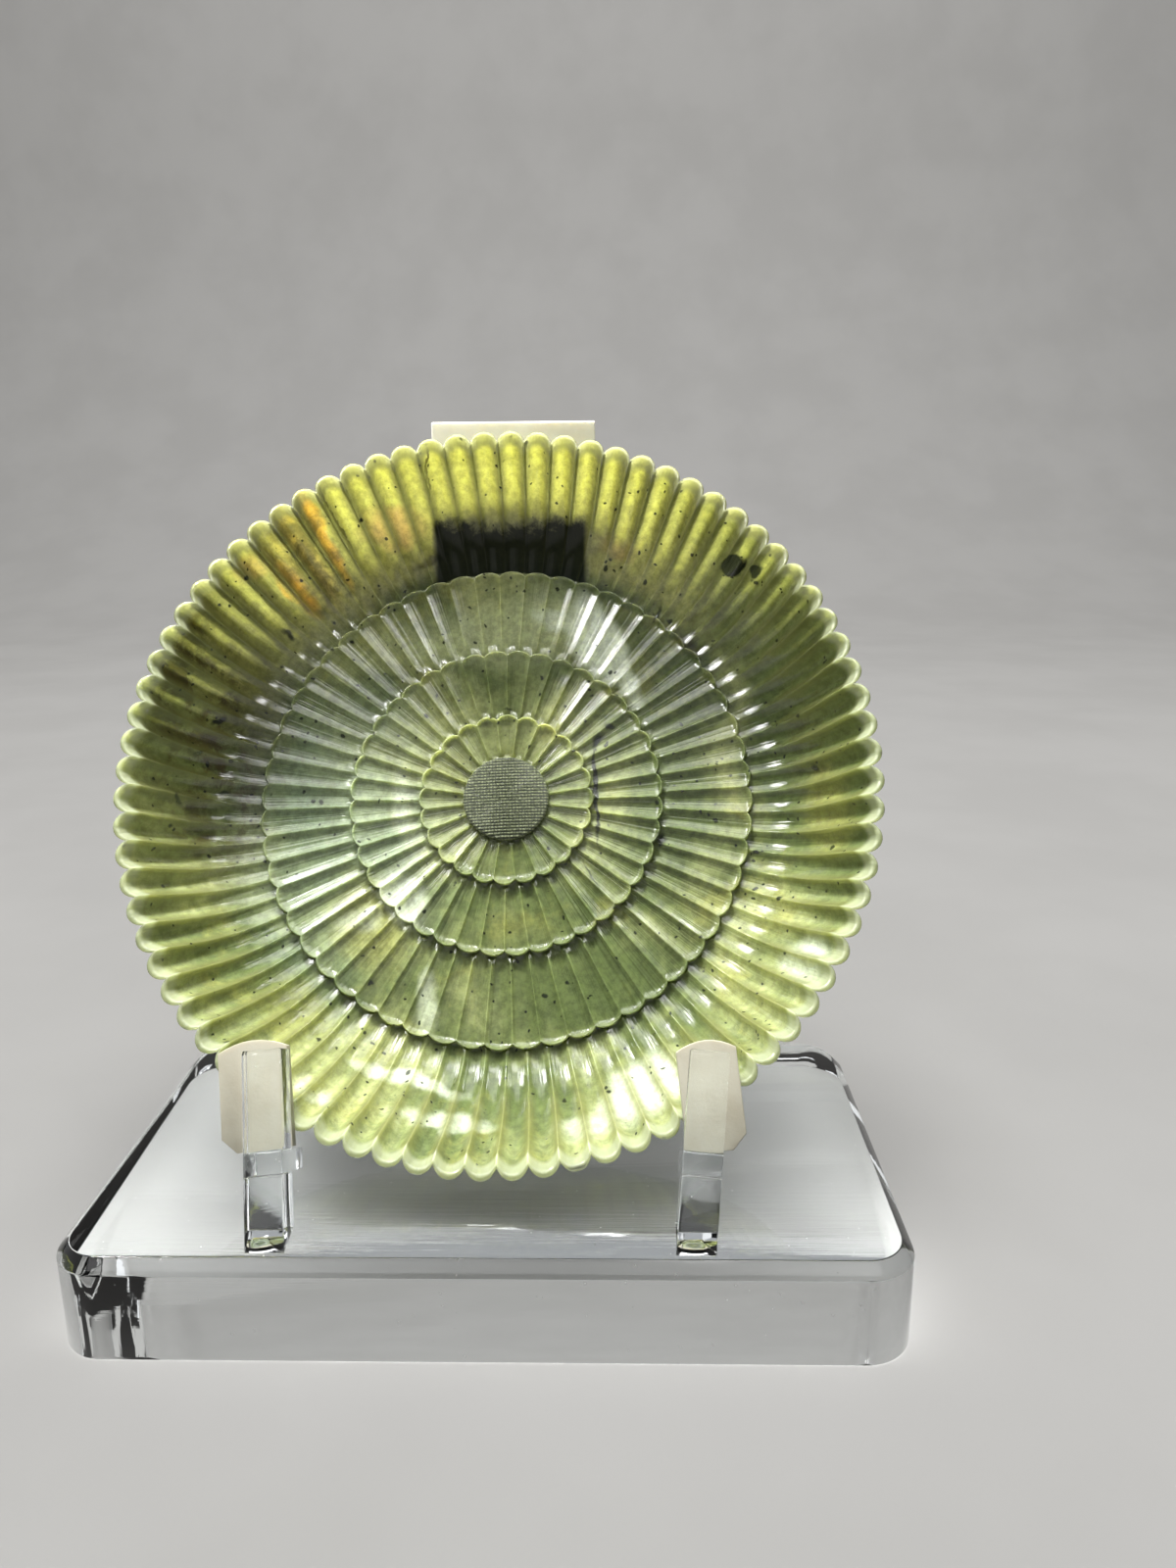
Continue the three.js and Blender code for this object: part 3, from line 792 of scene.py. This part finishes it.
@dataclass(frozen=True)
class JadeFinish:
    """Polished moss-green jade with clouds, rusty streaks, cracks and black specks."""

    moss: Colour = colour(0.31, 0.335, 0.145)
    deep: Colour = colour(0.085, 0.112, 0.038)
    cool: Colour = colour(0.18, 0.235, 0.15)
    olive: Colour = colour(0.25, 0.25, 0.07)
    pale: Colour = colour(0.46, 0.50, 0.27)
    # Painted glow: the colour of the upper wall where it is painted as if lit through from behind.
    painted_glow: Colour = colour(0.40, 0.39, 0.16)
    # Dark tone of patches on the wall's left side; along the upper wall's ridges it is painted shade.
    shade: Colour = colour(0.10, 0.105, 0.035)
    cloud: Colour = colour(0.62, 0.67, 0.52)
    rust: Colour = colour(0.55, 0.35, 0.07)
    pink: Colour = colour(0.36, 0.24, 0.13)
    brown: Colour = colour(0.045, 0.038, 0.013)
    black: Colour = colour(0.006, 0.009, 0.005)
    lip: Colour = colour(0.25, 0.275, 0.17)
    lip_top: Colour = colour(0.15, 0.155, 0.09)
    frost: Colour = colour(0.14, 0.155, 0.085)
    groove: Colour = colour(0.012, 0.017, 0.008)
    band_half_width: float = 22.5
    band_top: float = 82.0
    band_foot: float = 69.0

    def material(self) -> bpy.types.Material:
        """Builds the finish."""
        made = bpy.data.materials.new("jade_moss_green")
        n = Nodes(made)
        origin = Matrix.Rotation(LEAN - pi / 2, 3, "X") @ (-RIM_CENTRE * MM)
        here = n.mapping(n.position(), location=origin, turn=(LEAN - pi / 2, 0, 0))
        loose = n.spread(here, 60, 0.012)
        looser = n.spread(here, 25, 0.03)
        close = n.spread(here, 180, 0.004)
        parts = n.add("ShaderNodeSeparateXYZ")
        n.feed(parts.inputs[0], here)
        x, y, z = parts.outputs
        angle = n.math("ARCTAN2", y, x)
        radius = n.vector("LENGTH", "Value", n.vector("MULTIPLY", "Vector", here, (1, 1, 0)))
        on_wall = n.fade(radius, 69 * MM, 76 * MM)
        base = n.blend(n.fade(n.noise(looser, 26, 4, 0.6), 0.35, 0.68), self.deep, self.moss)
        base = n.blend(n.fade(n.noise(loose, 60, 5, 0.65), 0.5, 0.72, 0.0, 0.6), base, self.olive)
        # Painted light: the upper wall is painted lighter and yellower, as if lit through from behind, less
        # so towards the right.
        painted_glow_mask = n.math("MULTIPLY", on_wall, n.fade(y, 10 * MM, 75 * MM))
        painted_glow_mask = n.math("MULTIPLY", painted_glow_mask, n.fade(x, 25 * MM, 75 * MM, 1.0, 0.3))
        base = n.blend(n.math("MULTIPLY", painted_glow_mask, 0.8), base, self.painted_glow)
        for tone, way, patches in self.patches():
            vector = {"loose": loose, "looser": looser, "close": close}[way]
            base = n.blend(n.blots(vector, patches), base, tone)
        stained = self.stain(n, loose)
        base = n.blend(stained, base, self.brown)
        mottle = n.fade(n.noise(here, 420, 5, 0.7), 0.3, 0.7, 0.72, 1.25)
        base = n.vector("SCALE", "Vector", base, None, None, mottle)
        wall = JadeDish().wall_ring
        # Painted shade: the upper wall is darkened along the ridges between its flutes.
        high_up = n.fade(radius, 74 * MM, 86 * MM, 0.0, 0.85)
        painted_ridge_shade = n.math("MULTIPLY", n.ridges(angle, wall, 0.3, 1.0), high_up)
        base = n.blend(painted_ridge_shade, base, self.shade)
        dark = n.math("MAXIMUM", self.specks(n, here, close), self.inclusions(n, close))
        shut = self.band(n, x, y, radius, loose)
        dark = n.math("MAXIMUM", dark, shut)
        base = n.blend(dark, base, self.black)
        # Painted rim light: the lip is painted lighter along its edge, and darker towards the top of the
        # dish.
        edge = n.fade(z, -3.4 * MM, -1.2 * MM, 0.0, 0.8)
        tone = n.blend(n.fade(y, 20 * MM, 75 * MM), self.lip, self.lip_top)
        base = n.blend(edge, base, tone)
        hatch = self.hatch(n, here)
        in_front = n.fade(z, -29 * MM, -28 * MM)
        on_boss = n.math("MULTIPLY", n.blot(here, Patch(0, 0, 12.2, 12.2, soft=0.03)), in_front)
        # Painted glints: fine noise makes the boss's frosted grey brighter and darker. Painted shade: its
        # grooves are painted near black.
        glint = n.fade(n.noise(here, 1600, 2), 0.35, 0.7, 0.55, 1.5)
        frost = n.vector("SCALE", "Vector", self.frost[:3], None, None, glint)
        base = n.blend(on_boss, base, n.blend(hatch, frost, self.groove))
        shader = n.add("ShaderNodeBsdfPrincipled")
        n.feed(shader.inputs["Base Color"], base)
        rough = n.fade(n.noise(here, 120, 4), 0.3, 0.75, 0.07, 0.18)
        n.feed(shader.inputs["Roughness"], n.math("MULTIPLY_ADD", on_boss, 0.25, rough))
        shader.inputs["IOR"].default_value = 1.62
        dull = n.math("MAXIMUM", dark, n.math("MULTIPLY", stained, 0.6))
        dull = n.math("MAXIMUM", dull, n.math("MULTIPLY", on_boss, 0.85))
        n.feed(shader.inputs["Subsurface Weight"], n.math("SUBTRACT", 1.0, dull))
        n.feed(shader.inputs["Specular IOR Level"], n.math("MULTIPLY_ADD", shut, -0.4, 0.5))
        shader.inputs["Subsurface Radius"].default_value = (1.0, 1.0, 0.7)
        n.feed(shader.inputs["Subsurface Scale"], n.fade(radius, 60 * MM, 85 * MM, 0.004, 0.009))
        n.feed(shader.inputs["Coat Weight"], n.math("MULTIPLY_ADD", on_boss, -0.3, 0.3))
        shader.inputs["Coat Roughness"].default_value = 0.06
        outward = n.vector("NORMALIZE", "Vector", n.vector("MULTIPLY", "Vector", here, (1, 1, 0)))
        height = n.vector("MULTIPLY", "Vector", here, (0, 0, 60))
        strokes = n.vector("MULTIPLY_ADD", "Vector", outward, (55, 55, 55), height)
        wear = n.bump(n.noise(strokes, 1.0, 3, 0.6), 0.0006, 0.6)
        n.feed(shader.inputs["Normal"], n.bump(n.noise(here, 220, 3), 0.00012, 0.6, wear))
        n.feed(n.output.inputs["Surface"], shader.outputs[0])
        return made

    def patches(self) -> Iterable[tuple[Colour, str, Sequence[Patch]]]:
        """The placed patches: their colour, how far noise pushes their outlines, and where they are."""
        rows = (
            (self.cool, "looser", (
                (-48, -8, 42, 54, 0, 0.65),
            )),
            # Painted light: the upper floor, which lies in the upper wall's shade, is painted lighter.
            (self.pale, "looser", (
                (-4, 50, 40, 18, 0, 0.6),
            )),
            (self.deep, "looser", (
                (2, 0, 30, 28, 0, 0.5), (14, -48, 36, 20, 0, 0.85), (48, 2, 20, 40, -10, 0.95),
                (88, 6, 24, 62, 8, 1.0, 0.5), (70, 50, 18, 28, 40, 0.65), (-84, 16, 18, 44, 6, 0.6),
            )),
            (self.shade, "looser", (
                (-80, 34, 17, 40, 22, 0.75), (-66, 66, 12, 16, 45, 0.35),
            )),
            (self.olive, "loose", (
                (-36, -34, 14, 20, 20, 0.6), (88, -6, 9, 18, 0, 0.5), (-56, -58, 16, 9, -45, 0.35),
                (-80, 40, 12, 22, 30, 0.5),
            )),
            (self.cloud, "loose", (
                (26, 47, 18, 8, -60, 0.95, 0.5), (36, 33, 7, 4, -60, 0.8), (13, 53, 9, 4, -20, 0.6),
                (-28, -27, 10, 7, -50, 0.6, 0.5), (-28, -2, 4, 16, 0, 0.35), (-40, -34, 8, 5, 30, 0.4),
                (-20, -56, 4, 13, 0, 0.4), (-24, -77, 20, 2.2, -14, 0.6, 0.6),
                (-12, -86, 18, 2.6, -6, 0.5, 0.6), (-44, -80, 9, 2.4, -35, 0.4),
                (38, -78, 20, 8, 32, 0.65, 0.6), (22, -88, 9, 5, 10, 0.4), (79, -46, 10, 7, 50, 0.5),
            )),
            (self.rust, "loose", (
                (-53, 74, 16, 2.8, -55, 0.9, 0.6), (-61, 60, 10, 2.8, -48, 0.85),
                (-58, 68, 15, 9, -50, 0.4),
            )),
            (self.pink, "loose", (
                (-33, 79, 13, 5, 8, 0.75), (-70, 62, 8, 4, 45, 0.5), (31, 76, 8, 5, -20, 0.4),
            )),
            (self.brown, "close", (
                (-22.3, 91, 7, 0.5, 84, 0.95, 0.5), (-49.6, 79, 9, 0.6, -58, 0.9, 0.5),
                (-85, 42, 6, 2.2, 70, 0.95), (-85, 18, 5, 2.0, 80, 0.9), (-82.6, -14, 6, 2.0, 70, 0.85),
                (52, 46, 7, 3, -45, 0.6), (-24, 72, 8, 1.6, 20, 0.6),
            )),
        )
        return [(tone, way, [Patch(*row) for row in group]) for tone, way, group in rows]

    def inclusions(self, n: Nodes, close: bpy.types.NodeSocket) -> bpy.types.NodeSocket:
        """The mask of the black cracks and inclusions."""
        whole = None
        for row in (
            (25.4, 2, 19, 0.8, 92, 0.95, 0.5), (25.8, 17, 3.6, 1.6, 60, 0.95),
            (29.5, 21, 2.2, 1.4, 0, 0.9), (43.5, -12, 3.6, 1.6, 70, 0.9),
            (64.6, 63.4, 3.9, 2.1, -10, 1.0, 0.3), (70, 60, 2.2, 1.3, 20, 0.9, 0.4),
            (21.6, -96.4, 3.6, 1.5, 12, 0.9), (24, -22, 6, 0.5, -60, 0.8), (-52, 45, 1.4, 0.8, 0, 0.8),
            (0, 26.5, 2.2, 0.8, 0, 0.7), (-81, 21, 3.2, 1.1, 60, 0.9), (-85, 11, 2.4, 1.0, 20, 0.85),
            (-79, 1, 2.0, 1.1, 0, 0.85), (-88, -3, 2.6, 0.9, 80, 0.8), (-64, 48, 2.2, 1.0, -40, 0.85),
            (-52, 53, 1.0, 0.9, 0, 0.95), (-46.6, 47.5, 0.9, 0.8, 0, 0.95), (85, 6, 1.9, 0.8, -60, 0.9),
            (43, 55, 5, 0.6, 60, 0.85),
        ):
            mask = n.blot(close, Patch(*row))
            whole = mask if whole is None else n.math("MAXIMUM", whole, mask)
        return whole

    @staticmethod
    def stain(n: Nodes, loose: bpy.types.NodeSocket) -> bpy.types.NodeSocket:
        """The broken dark stain of the wall's left side."""
        whole = n.math("MAXIMUM", n.blot(loose, Patch(-83, 18, 17, 52, 8, 1.0)),
                       n.blot(loose, Patch(-56, 68, 14, 20, 40, 0.6)))
        whole = n.math("MAXIMUM", whole, n.blot(loose, Patch(84, 12, 9, 26, 8, 0.4)))
        return n.math("MULTIPLY", whole, n.fade(n.noise(loose, 110, 5, 0.7), 0.4, 0.58))

    def band(self, n: Nodes, x: object, y: object, radius: object, loose: object) -> bpy.types.NodeSocket:
        """The dark band where the back pad shuts the light out."""
        ragged = n.math("MULTIPLY_ADD", n.noise(loose, 160, 4, 0.7), 9 * MM, y)
        top = (self.band_top + 4.5) * MM
        upper = n.fade(ragged, top - 1.8 * MM, top + 1.8 * MM, 0.97, 0.0)
        half = self.band_half_width * MM
        across = n.fade(n.math("ABSOLUTE", x), half - 1.2 * MM, half + 1.0 * MM, 1.0, 0.0)
        beyond_floor = n.fade(radius, (self.band_foot - 0.6) * MM, (self.band_foot + 0.3) * MM)
        above_floor = n.math("MULTIPLY", beyond_floor, n.math("GREATER_THAN", y, 0.0))
        return n.math("MULTIPLY", n.math("MULTIPLY", upper, across), above_floor)

    @staticmethod
    def hatch(n: Nodes, here: bpy.types.NodeSocket) -> bpy.types.NodeSocket:
        """The grooves of the boss: 1 in a groove, less in an upright one."""
        dish = JadeDish()
        turned = n.mapping(here, turn=(0, 0, -dish.hatch_turn))
        lines = n.add("ShaderNodeSeparateXYZ")
        n.feed(lines.inputs[0], turned)
        pitch = dish.hatch_pitch * MM
        from_level = n.math("PINGPONG", lines.outputs[1], pitch / 2)
        from_upright = n.math("PINGPONG", lines.outputs[0], pitch / 2)
        level = n.fade(from_level, 0.12 * pitch, 0.3 * pitch, 1.0, 0.0)
        upright = n.fade(from_upright, 0.08 * pitch, 0.25 * pitch, 0.5, 0.0)
        return n.math("MAXIMUM", level, upright)

    @staticmethod
    def specks(n: Nodes, here: bpy.types.NodeSocket, close: bpy.types.NodeSocket) -> bpy.types.NodeSocket:
        """A mask of scattered black specks, thicker in some places than in others."""
        crowd = n.fade(n.noise(here, 35, 3), 0.4, 0.65, 0.0, 0.25)
        total = None
        for scale, reach, keep in ((420.0, 0.13, 0.86), (170.0, 0.085, 0.9)):
            cells = n.add("ShaderNodeTexVoronoi", feature="F1")
            n.feed(cells.inputs["Vector"], close)
            cells.inputs["Scale"].default_value = scale
            dot = n.fade(cells.outputs["Distance"], reach, reach * 1.9, 0.9, 0.0)
            chosen = n.add("ShaderNodeSeparateColor")
            n.feed(chosen.inputs[0], cells.outputs["Color"])
            kept = n.math("GREATER_THAN", n.math("ADD", chosen.outputs[0], crowd), keep)
            dot = n.math("MULTIPLY", dot, kept)
            total = dot if total is None else n.math("MAXIMUM", total, dot)
        return total


@dataclass(frozen=True)
class AcrylicFinish:
    """Clear polished acrylic with a little dust and fine scratches."""

    tint: Colour = colour(0.96, 0.985, 0.985)
    dust: Colour = colour(0.8, 0.8, 0.78)

    def material(self) -> bpy.types.Material:
        """Builds the finish."""
        made = bpy.data.materials.new("acrylic_clear")
        n = Nodes(made)
        place_now = n.position()
        cells = n.add("ShaderNodeTexVoronoi", feature="F1")
        n.feed(cells.inputs["Vector"], place_now)
        cells.inputs["Scale"].default_value = 260.0
        speck = n.fade(cells.outputs["Distance"], 0.02, 0.06, 1.0, 0.0)
        shader = n.add("ShaderNodeBsdfPrincipled")
        n.feed(shader.inputs["Base Color"], n.blend(speck, self.tint, self.dust))
        smear = n.fade(n.noise(place_now, 30, 4), 0.45, 0.8, 0.0, 0.05)
        n.feed(shader.inputs["Roughness"], n.math("ADD", smear, n.math("MULTIPLY", speck, 0.5)))
        shader.inputs["IOR"].default_value = 1.49
        shader.inputs["Transmission Weight"].default_value = 1.0
        scratches = n.noise(n.mapping(place_now, turn=(0.2, 0.1, 0.6), scale=(30, 900, 900)), 1.0, 2)
        n.feed(shader.inputs["Normal"], n.bump(scratches, 0.00002, 0.3))
        n.feed(n.output.inputs["Surface"], shader.outputs[0])
        return made


@dataclass(frozen=True)
class PadFinish:
    """Soft white pad sheet, a little yellowed and rubbed."""

    white: Colour = colour(0.74, 0.73, 0.67)
    cream: Colour = colour(0.62, 0.59, 0.50)

    def material(self) -> bpy.types.Material:
        """Builds the finish."""
        made = bpy.data.materials.new("pad_soft_white")
        n = Nodes(made)
        place_now = n.position()
        shade = n.fade(n.noise(place_now, 90, 4), 0.4, 0.75, 0.0, 0.7)
        shader = n.add("ShaderNodeBsdfPrincipled")
        n.feed(shader.inputs["Base Color"], n.blend(shade, self.white, self.cream))
        n.feed(shader.inputs["Roughness"], n.fade(n.noise(place_now, 400, 3), 0.3, 0.7, 0.45, 0.7))
        shader.inputs["Subsurface Weight"].default_value = 0.35
        shader.inputs["Subsurface Radius"].default_value = (1.0, 0.9, 0.7)
        shader.inputs["Subsurface Scale"].default_value = 0.003
        n.feed(shader.inputs["Normal"], n.bump(n.noise(place_now, 1500, 3), 0.00006, 0.6))
        n.feed(n.output.inputs["Surface"], shader.outputs[0])
        return made


# The two pads in front take a darker copy of the pad finish: painted shade of the clear bars in front of
# them.
SHADED_FRONT_PAD = PadFinish(colour(0.30, 0.285, 0.225), colour(0.24, 0.22, 0.165))


# The stand


@dataclass
class ClearStand:
    """The base plate, two bars and back post of clear acrylic, and their three white pads."""

    width: float = 197.0
    depth: float = 108.0
    thickness: float = 25.0
    corner: float = 12.0
    chamfer: float = 3.0
    edge: float = 0.25
    corner_steps: int = 20
    pad_edge: float = 0.5

    def base_plate(self) -> bpy.types.Mesh:
        """Builds the plate: a block with round corners and a polished chamfer round its top."""
        bm = bmesh.new()
        bmesh.ops.create_cube(bm, size=1.0)
        bmesh.ops.scale(bm, vec=(self.width, self.depth, self.thickness), verts=bm.verts)
        bmesh.ops.translate(bm, vec=(0, 0, self.thickness / 2), verts=bm.verts)
        upright = [e for e in bm.edges if abs(e.verts[0].co.z - e.verts[1].co.z) > 1]
        bmesh.ops.bevel(bm, geom=upright, offset=self.corner, affect="EDGES", segments=self.corner_steps,
                        profile=0.5, material=-1)
        top = [e for e in bm.edges if all(v.co.z > self.thickness - 0.01 for v in e.verts)]
        bmesh.ops.bevel(bm, geom=top, offset=self.chamfer, affect="EDGES", segments=1,
                        profile=0.5, material=-1)
        rims = [e for e in bm.edges if abs(e.verts[0].co.z - e.verts[1].co.z) < 0.01
                and len(e.link_faces) == 2 and e.calc_face_angle() > radians(30)]
        bmesh.ops.bevel(bm, geom=rims, offset=self.edge, affect="EDGES", segments=2, profile=0.5, material=-1)
        bmesh.ops.scale(bm, vec=(MM, MM, MM), verts=bm.verts)
        return mesh_from(bm, "clear_base")

    @staticmethod
    def eased_copy(node: str, name: str, edge: float, segments: int) -> bpy.types.Mesh:
        """Copies a CAD node's mesh, merges its triangles into flat faces and rounds its edges.

        Args:
            node: The CAD node.
            name: The new mesh's name.
            edge: The radius of its edges, in millimetres.
            segments: The steps of each rounding.

        Returns:
            The mesh.
        """
        bm = bmesh.new()
        bm.from_mesh(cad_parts[node].data)
        bmesh.ops.remove_doubles(bm, verts=bm.verts, dist=1e-6)
        bmesh.ops.dissolve_limit(bm, angle_limit=radians(1), verts=bm.verts, edges=bm.edges)
        sharp = [e for e in bm.edges if len(e.link_faces) == 2 and e.calc_face_angle() > radians(20)]
        bmesh.ops.bevel(bm, geom=sharp, offset=edge * MM, affect="EDGES", segments=segments,
                        profile=0.5, material=-1, clamp_overlap=True)
        return mesh_from(bm, name)

    def build(self, acrylic: bpy.types.Material, shaded_front_pad: bpy.types.Material,
              pad: bpy.types.Material) -> None:
        """Builds and dresses every piece of the stand.

        Args:
            acrylic: The finish of the clear pieces.
            shaded_front_pad: The finish of the two pads in front, painted darker as the shade of the bars
                before them.
            pad: The finish of the pad at the back.
        """
        place(new_object("clear_base", self.base_plate()), Slot.ACRYLIC, acrylic, "base_plate")
        for node in ("prong_left", "prong_right", "back_post"):
            mesh = self.eased_copy(node, f"clear_{node}", self.edge, 2)
            place(new_object(f"clear_{node}", mesh), Slot.ACRYLIC, acrylic, node)
        for node in ("pad_left", "pad_right", "pad_back"):
            mesh = self.eased_copy(node, f"white_{node}", self.pad_edge, 3)
            finish = pad if node == "pad_back" else shaded_front_pad
            place(new_object(f"white_{node}", mesh), Slot.PAD, finish, node)


# The studio


@dataclass
class Studio:
    """The pale floor, the soft lights and the camera."""

    camera_at: Sequence[float] = (0.0301, -0.2687, 0.1892)
    pitch: float = radians(14.27)
    yaw: float = radians(1.3)
    roll: float = radians(-0.5)
    focal: float = 1156.0
    image_height: float = 1600.0
    sensor: float = 36.0
    floor_gap: float = 0.0002
    floor_side: float = 3.0
    floor_back: float = 2.2
    floor_bend: float = 0.9
    world_light: float = 0.08
    world_seen: float = 0.5

    def __post_init__(self) -> None:
        """Makes the collections that share the lamps out between the object and the set."""
        self.clear_lit = bpy.data.collections.new("clear_lit")
        self.piece_lit = bpy.data.collections.new("piece_lit")
        self.set_lit = bpy.data.collections.new("set_lit")
        self.blockers = bpy.data.collections.new("blockers")

    def floor(self) -> bpy.types.Object:
        """Builds the floor, which curves up into a backdrop."""
        bm = bmesh.new()
        low = -self.floor_gap
        side, back, bend = self.floor_side, self.floor_back, self.floor_bend
        ends = ((-side, -side, low), (-side, back, low), (-side, back, side))
        corner = [bm.verts.new(end) for end in ends]
        line = [bm.edges.new((corner[0], corner[1])), bm.edges.new((corner[1], corner[2]))]
        sheet = bmesh.ops.extrude_edge_only(bm, edges=line)["geom"]
        far = [item for item in sheet if isinstance(item, bmesh.types.BMVert)]
        bmesh.ops.translate(bm, vec=(2 * side, 0, 0), verts=far)
        fold = [e for e in bm.edges if all(v.co.y > back - TINY and v.co.z < low + TINY for v in e.verts)]
        bmesh.ops.bevel(bm, geom=fold, offset=bend, affect="EDGES", segments=16, profile=0.5, material=-1)
        for face in bm.faces:
            face.smooth = True
        mesh = bpy.data.meshes.new("floor")
        bm.to_mesh(mesh)
        bm.free()
        floor = new_object("floor", mesh)
        made = bpy.data.materials.new("floor_pale")
        n = Nodes(made)
        shader = n.add("ShaderNodeBsdfPrincipled")
        grain = n.fade(n.noise(n.position(), 8, 3), 0.3, 0.7)
        shades = (colour(0.60, 0.59, 0.57), colour(0.64, 0.63, 0.61))
        n.feed(shader.inputs["Base Color"], n.blend(grain, *shades))
        shader.inputs["Roughness"].default_value = 0.75
        n.feed(n.output.inputs["Surface"], shader.outputs[0])
        mesh.materials.append(made)
        floor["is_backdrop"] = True
        self.set_lit.objects.link(floor)
        return floor

    def lamp(self, name: str, at: Sequence[float], aim: Sequence[float], size: Sequence[float], power: float,
             lights: bpy.types.Collection | None = None, glossy: bool = True) -> None:
        """Adds a soft rectangular lamp. Clear pieces never cast its shadows.

        Args:
            name: The lamp's name.
            at: Where it is.
            aim: The point that it faces.
            size: Its two sides.
            power: Its power in watts.
            lights: What it lights, if not every piece of the object.
            glossy: Whether it shows in highlights and through clear pieces.
        """
        data = bpy.data.lights.new(name, "AREA")
        data.shape = "RECTANGLE"
        data.size, data.size_y = size
        data.energy = power
        lamp = bpy.data.objects.new(name, data)
        lamp.location = at
        lamp.rotation_euler = (Vector(aim) - Vector(at)).to_track_quat("-Z", "Y").to_euler()
        bpy.context.scene.collection.objects.link(lamp)
        lamp.visible_transmission = glossy
        lamp.visible_glossy = glossy
        lamp.light_linking.receiver_collection = lights or self.piece_lit
        lamp.light_linking.blocker_collection = self.blockers

    def lights(self) -> None:
        """Sets the lamps and the world."""
        dish = (0.0, 0.02, 0.12)
        base = (0.0, 0.0, 0.02)
        self.lamp("overhead", (-0.08, -0.12, 1.1), dish, (0.9, 0.6), 4.5)
        self.lamp("overhead_left", (-0.5, -0.15, 0.9), dish, (0.3, 0.15), 5.0)
        self.lamp("overhead_right", (0.5, -0.05, 0.95), dish, (0.35, 0.05), 1.4)
        self.lamp("over_rim", (-0.14, 0.21, 1.10), (0.0, 0.06, 0.18), (0.2, 0.12), 48.0, glossy=False)
        self.lamp("front_strip", (0.0, -0.42, 1.1), dish, (1.2, 0.12), 2.3)
        self.lamp("front_fill", (0.3, -1.4, 0.7), dish, (1.0, 0.8), 0.8)
        self.lamp("card_left", (-0.95, 0.0, 0.45), base, (1.8, 0.8), 2.5, self.clear_lit)
        self.lamp("card_right", (0.95, 0.0, 0.45), base, (1.8, 0.8), 2.5, self.clear_lit)
        self.lamp("card_front", (0.0, -0.75, 1.0), base, (1.6, 0.4), 4.0, self.clear_lit)
        self.lamp("set_soft", (0.0, -0.2, 2.6), (0.0, 0.3, 0.0), (2.0, 2.0), 64.0, self.set_lit)
        self.surroundings()

    def surroundings(self) -> None:
        """Makes the world: faint where it lights things, pale where it is seen."""
        world = bpy.data.worlds.new("studio")
        world.use_nodes = True
        tree = world.node_tree
        background = tree.nodes["Background"]
        background.inputs["Color"].default_value = colour(0.8, 0.82, 0.85)
        seen = tree.nodes.new("ShaderNodeLightPath")
        strength = tree.nodes.new("ShaderNodeMapRange")
        strength.inputs["To Min"].default_value = self.world_light
        strength.inputs["To Max"].default_value = self.world_seen
        either = tree.nodes.new("ShaderNodeMath")
        either.operation = "MAXIMUM"
        tree.links.new(seen.outputs["Is Camera Ray"], either.inputs[0])
        tree.links.new(seen.outputs["Is Transmission Ray"], either.inputs[1])
        tree.links.new(either.outputs[0], strength.inputs["Value"])
        tree.links.new(strength.outputs["Result"], background.inputs["Strength"])
        bpy.context.scene.world = world

    def camera(self) -> None:
        """Puts the camera where the photograph was taken from."""
        data = bpy.data.cameras.new("camera")
        data.sensor_fit = "VERTICAL"
        data.sensor_height = self.sensor
        data.lens = self.focal / self.image_height * self.sensor
        data.clip_start = 0.01
        camera = bpy.data.objects.new("camera", data)
        level = cos(self.pitch)
        forward = Vector((-sin(self.yaw) * level, cos(self.yaw) * level, -sin(self.pitch)))
        right = forward.cross(Vector((0, 0, 1))).normalized()
        up = right.cross(forward)
        rolled_right = right * cos(self.roll) + up * sin(self.roll)
        rolled_up = up * cos(self.roll) - right * sin(self.roll)
        turn = Matrix((rolled_right, rolled_up, -forward)).transposed()
        camera.matrix_world = Matrix.Translation(self.camera_at) @ turn.to_4x4()
        bpy.context.scene.collection.objects.link(camera)
        bpy.context.scene.camera = camera

    def build(self) -> None:
        """Builds the floor, lights and camera."""
        bpy.context.scene.view_settings.view_transform = "Standard"
        self.camera()
        self.floor()
        self.lights()


def main() -> None:
    """Builds the studio, the stand and the dish, in that order."""
    logging.basicConfig(level=logging.INFO, format="%(message)s")
    studio = Studio()
    studio.build()
    ClearStand().build(AcrylicFinish().material(), SHADED_FRONT_PAD.material(), PadFinish().material())
    dish = new_object("jade_dish", JadeDish().build())
    place(dish, Slot.JADE, JadeFinish().material(), "dish")
    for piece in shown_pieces():
        studio.piece_lit.objects.link(piece)
        is_clear = piece.name.startswith("clear_")
        (studio.clear_lit if is_clear else studio.blockers).objects.link(piece)
    bpy.context.view_layer.update()


if __name__ == "__main__":
    main()
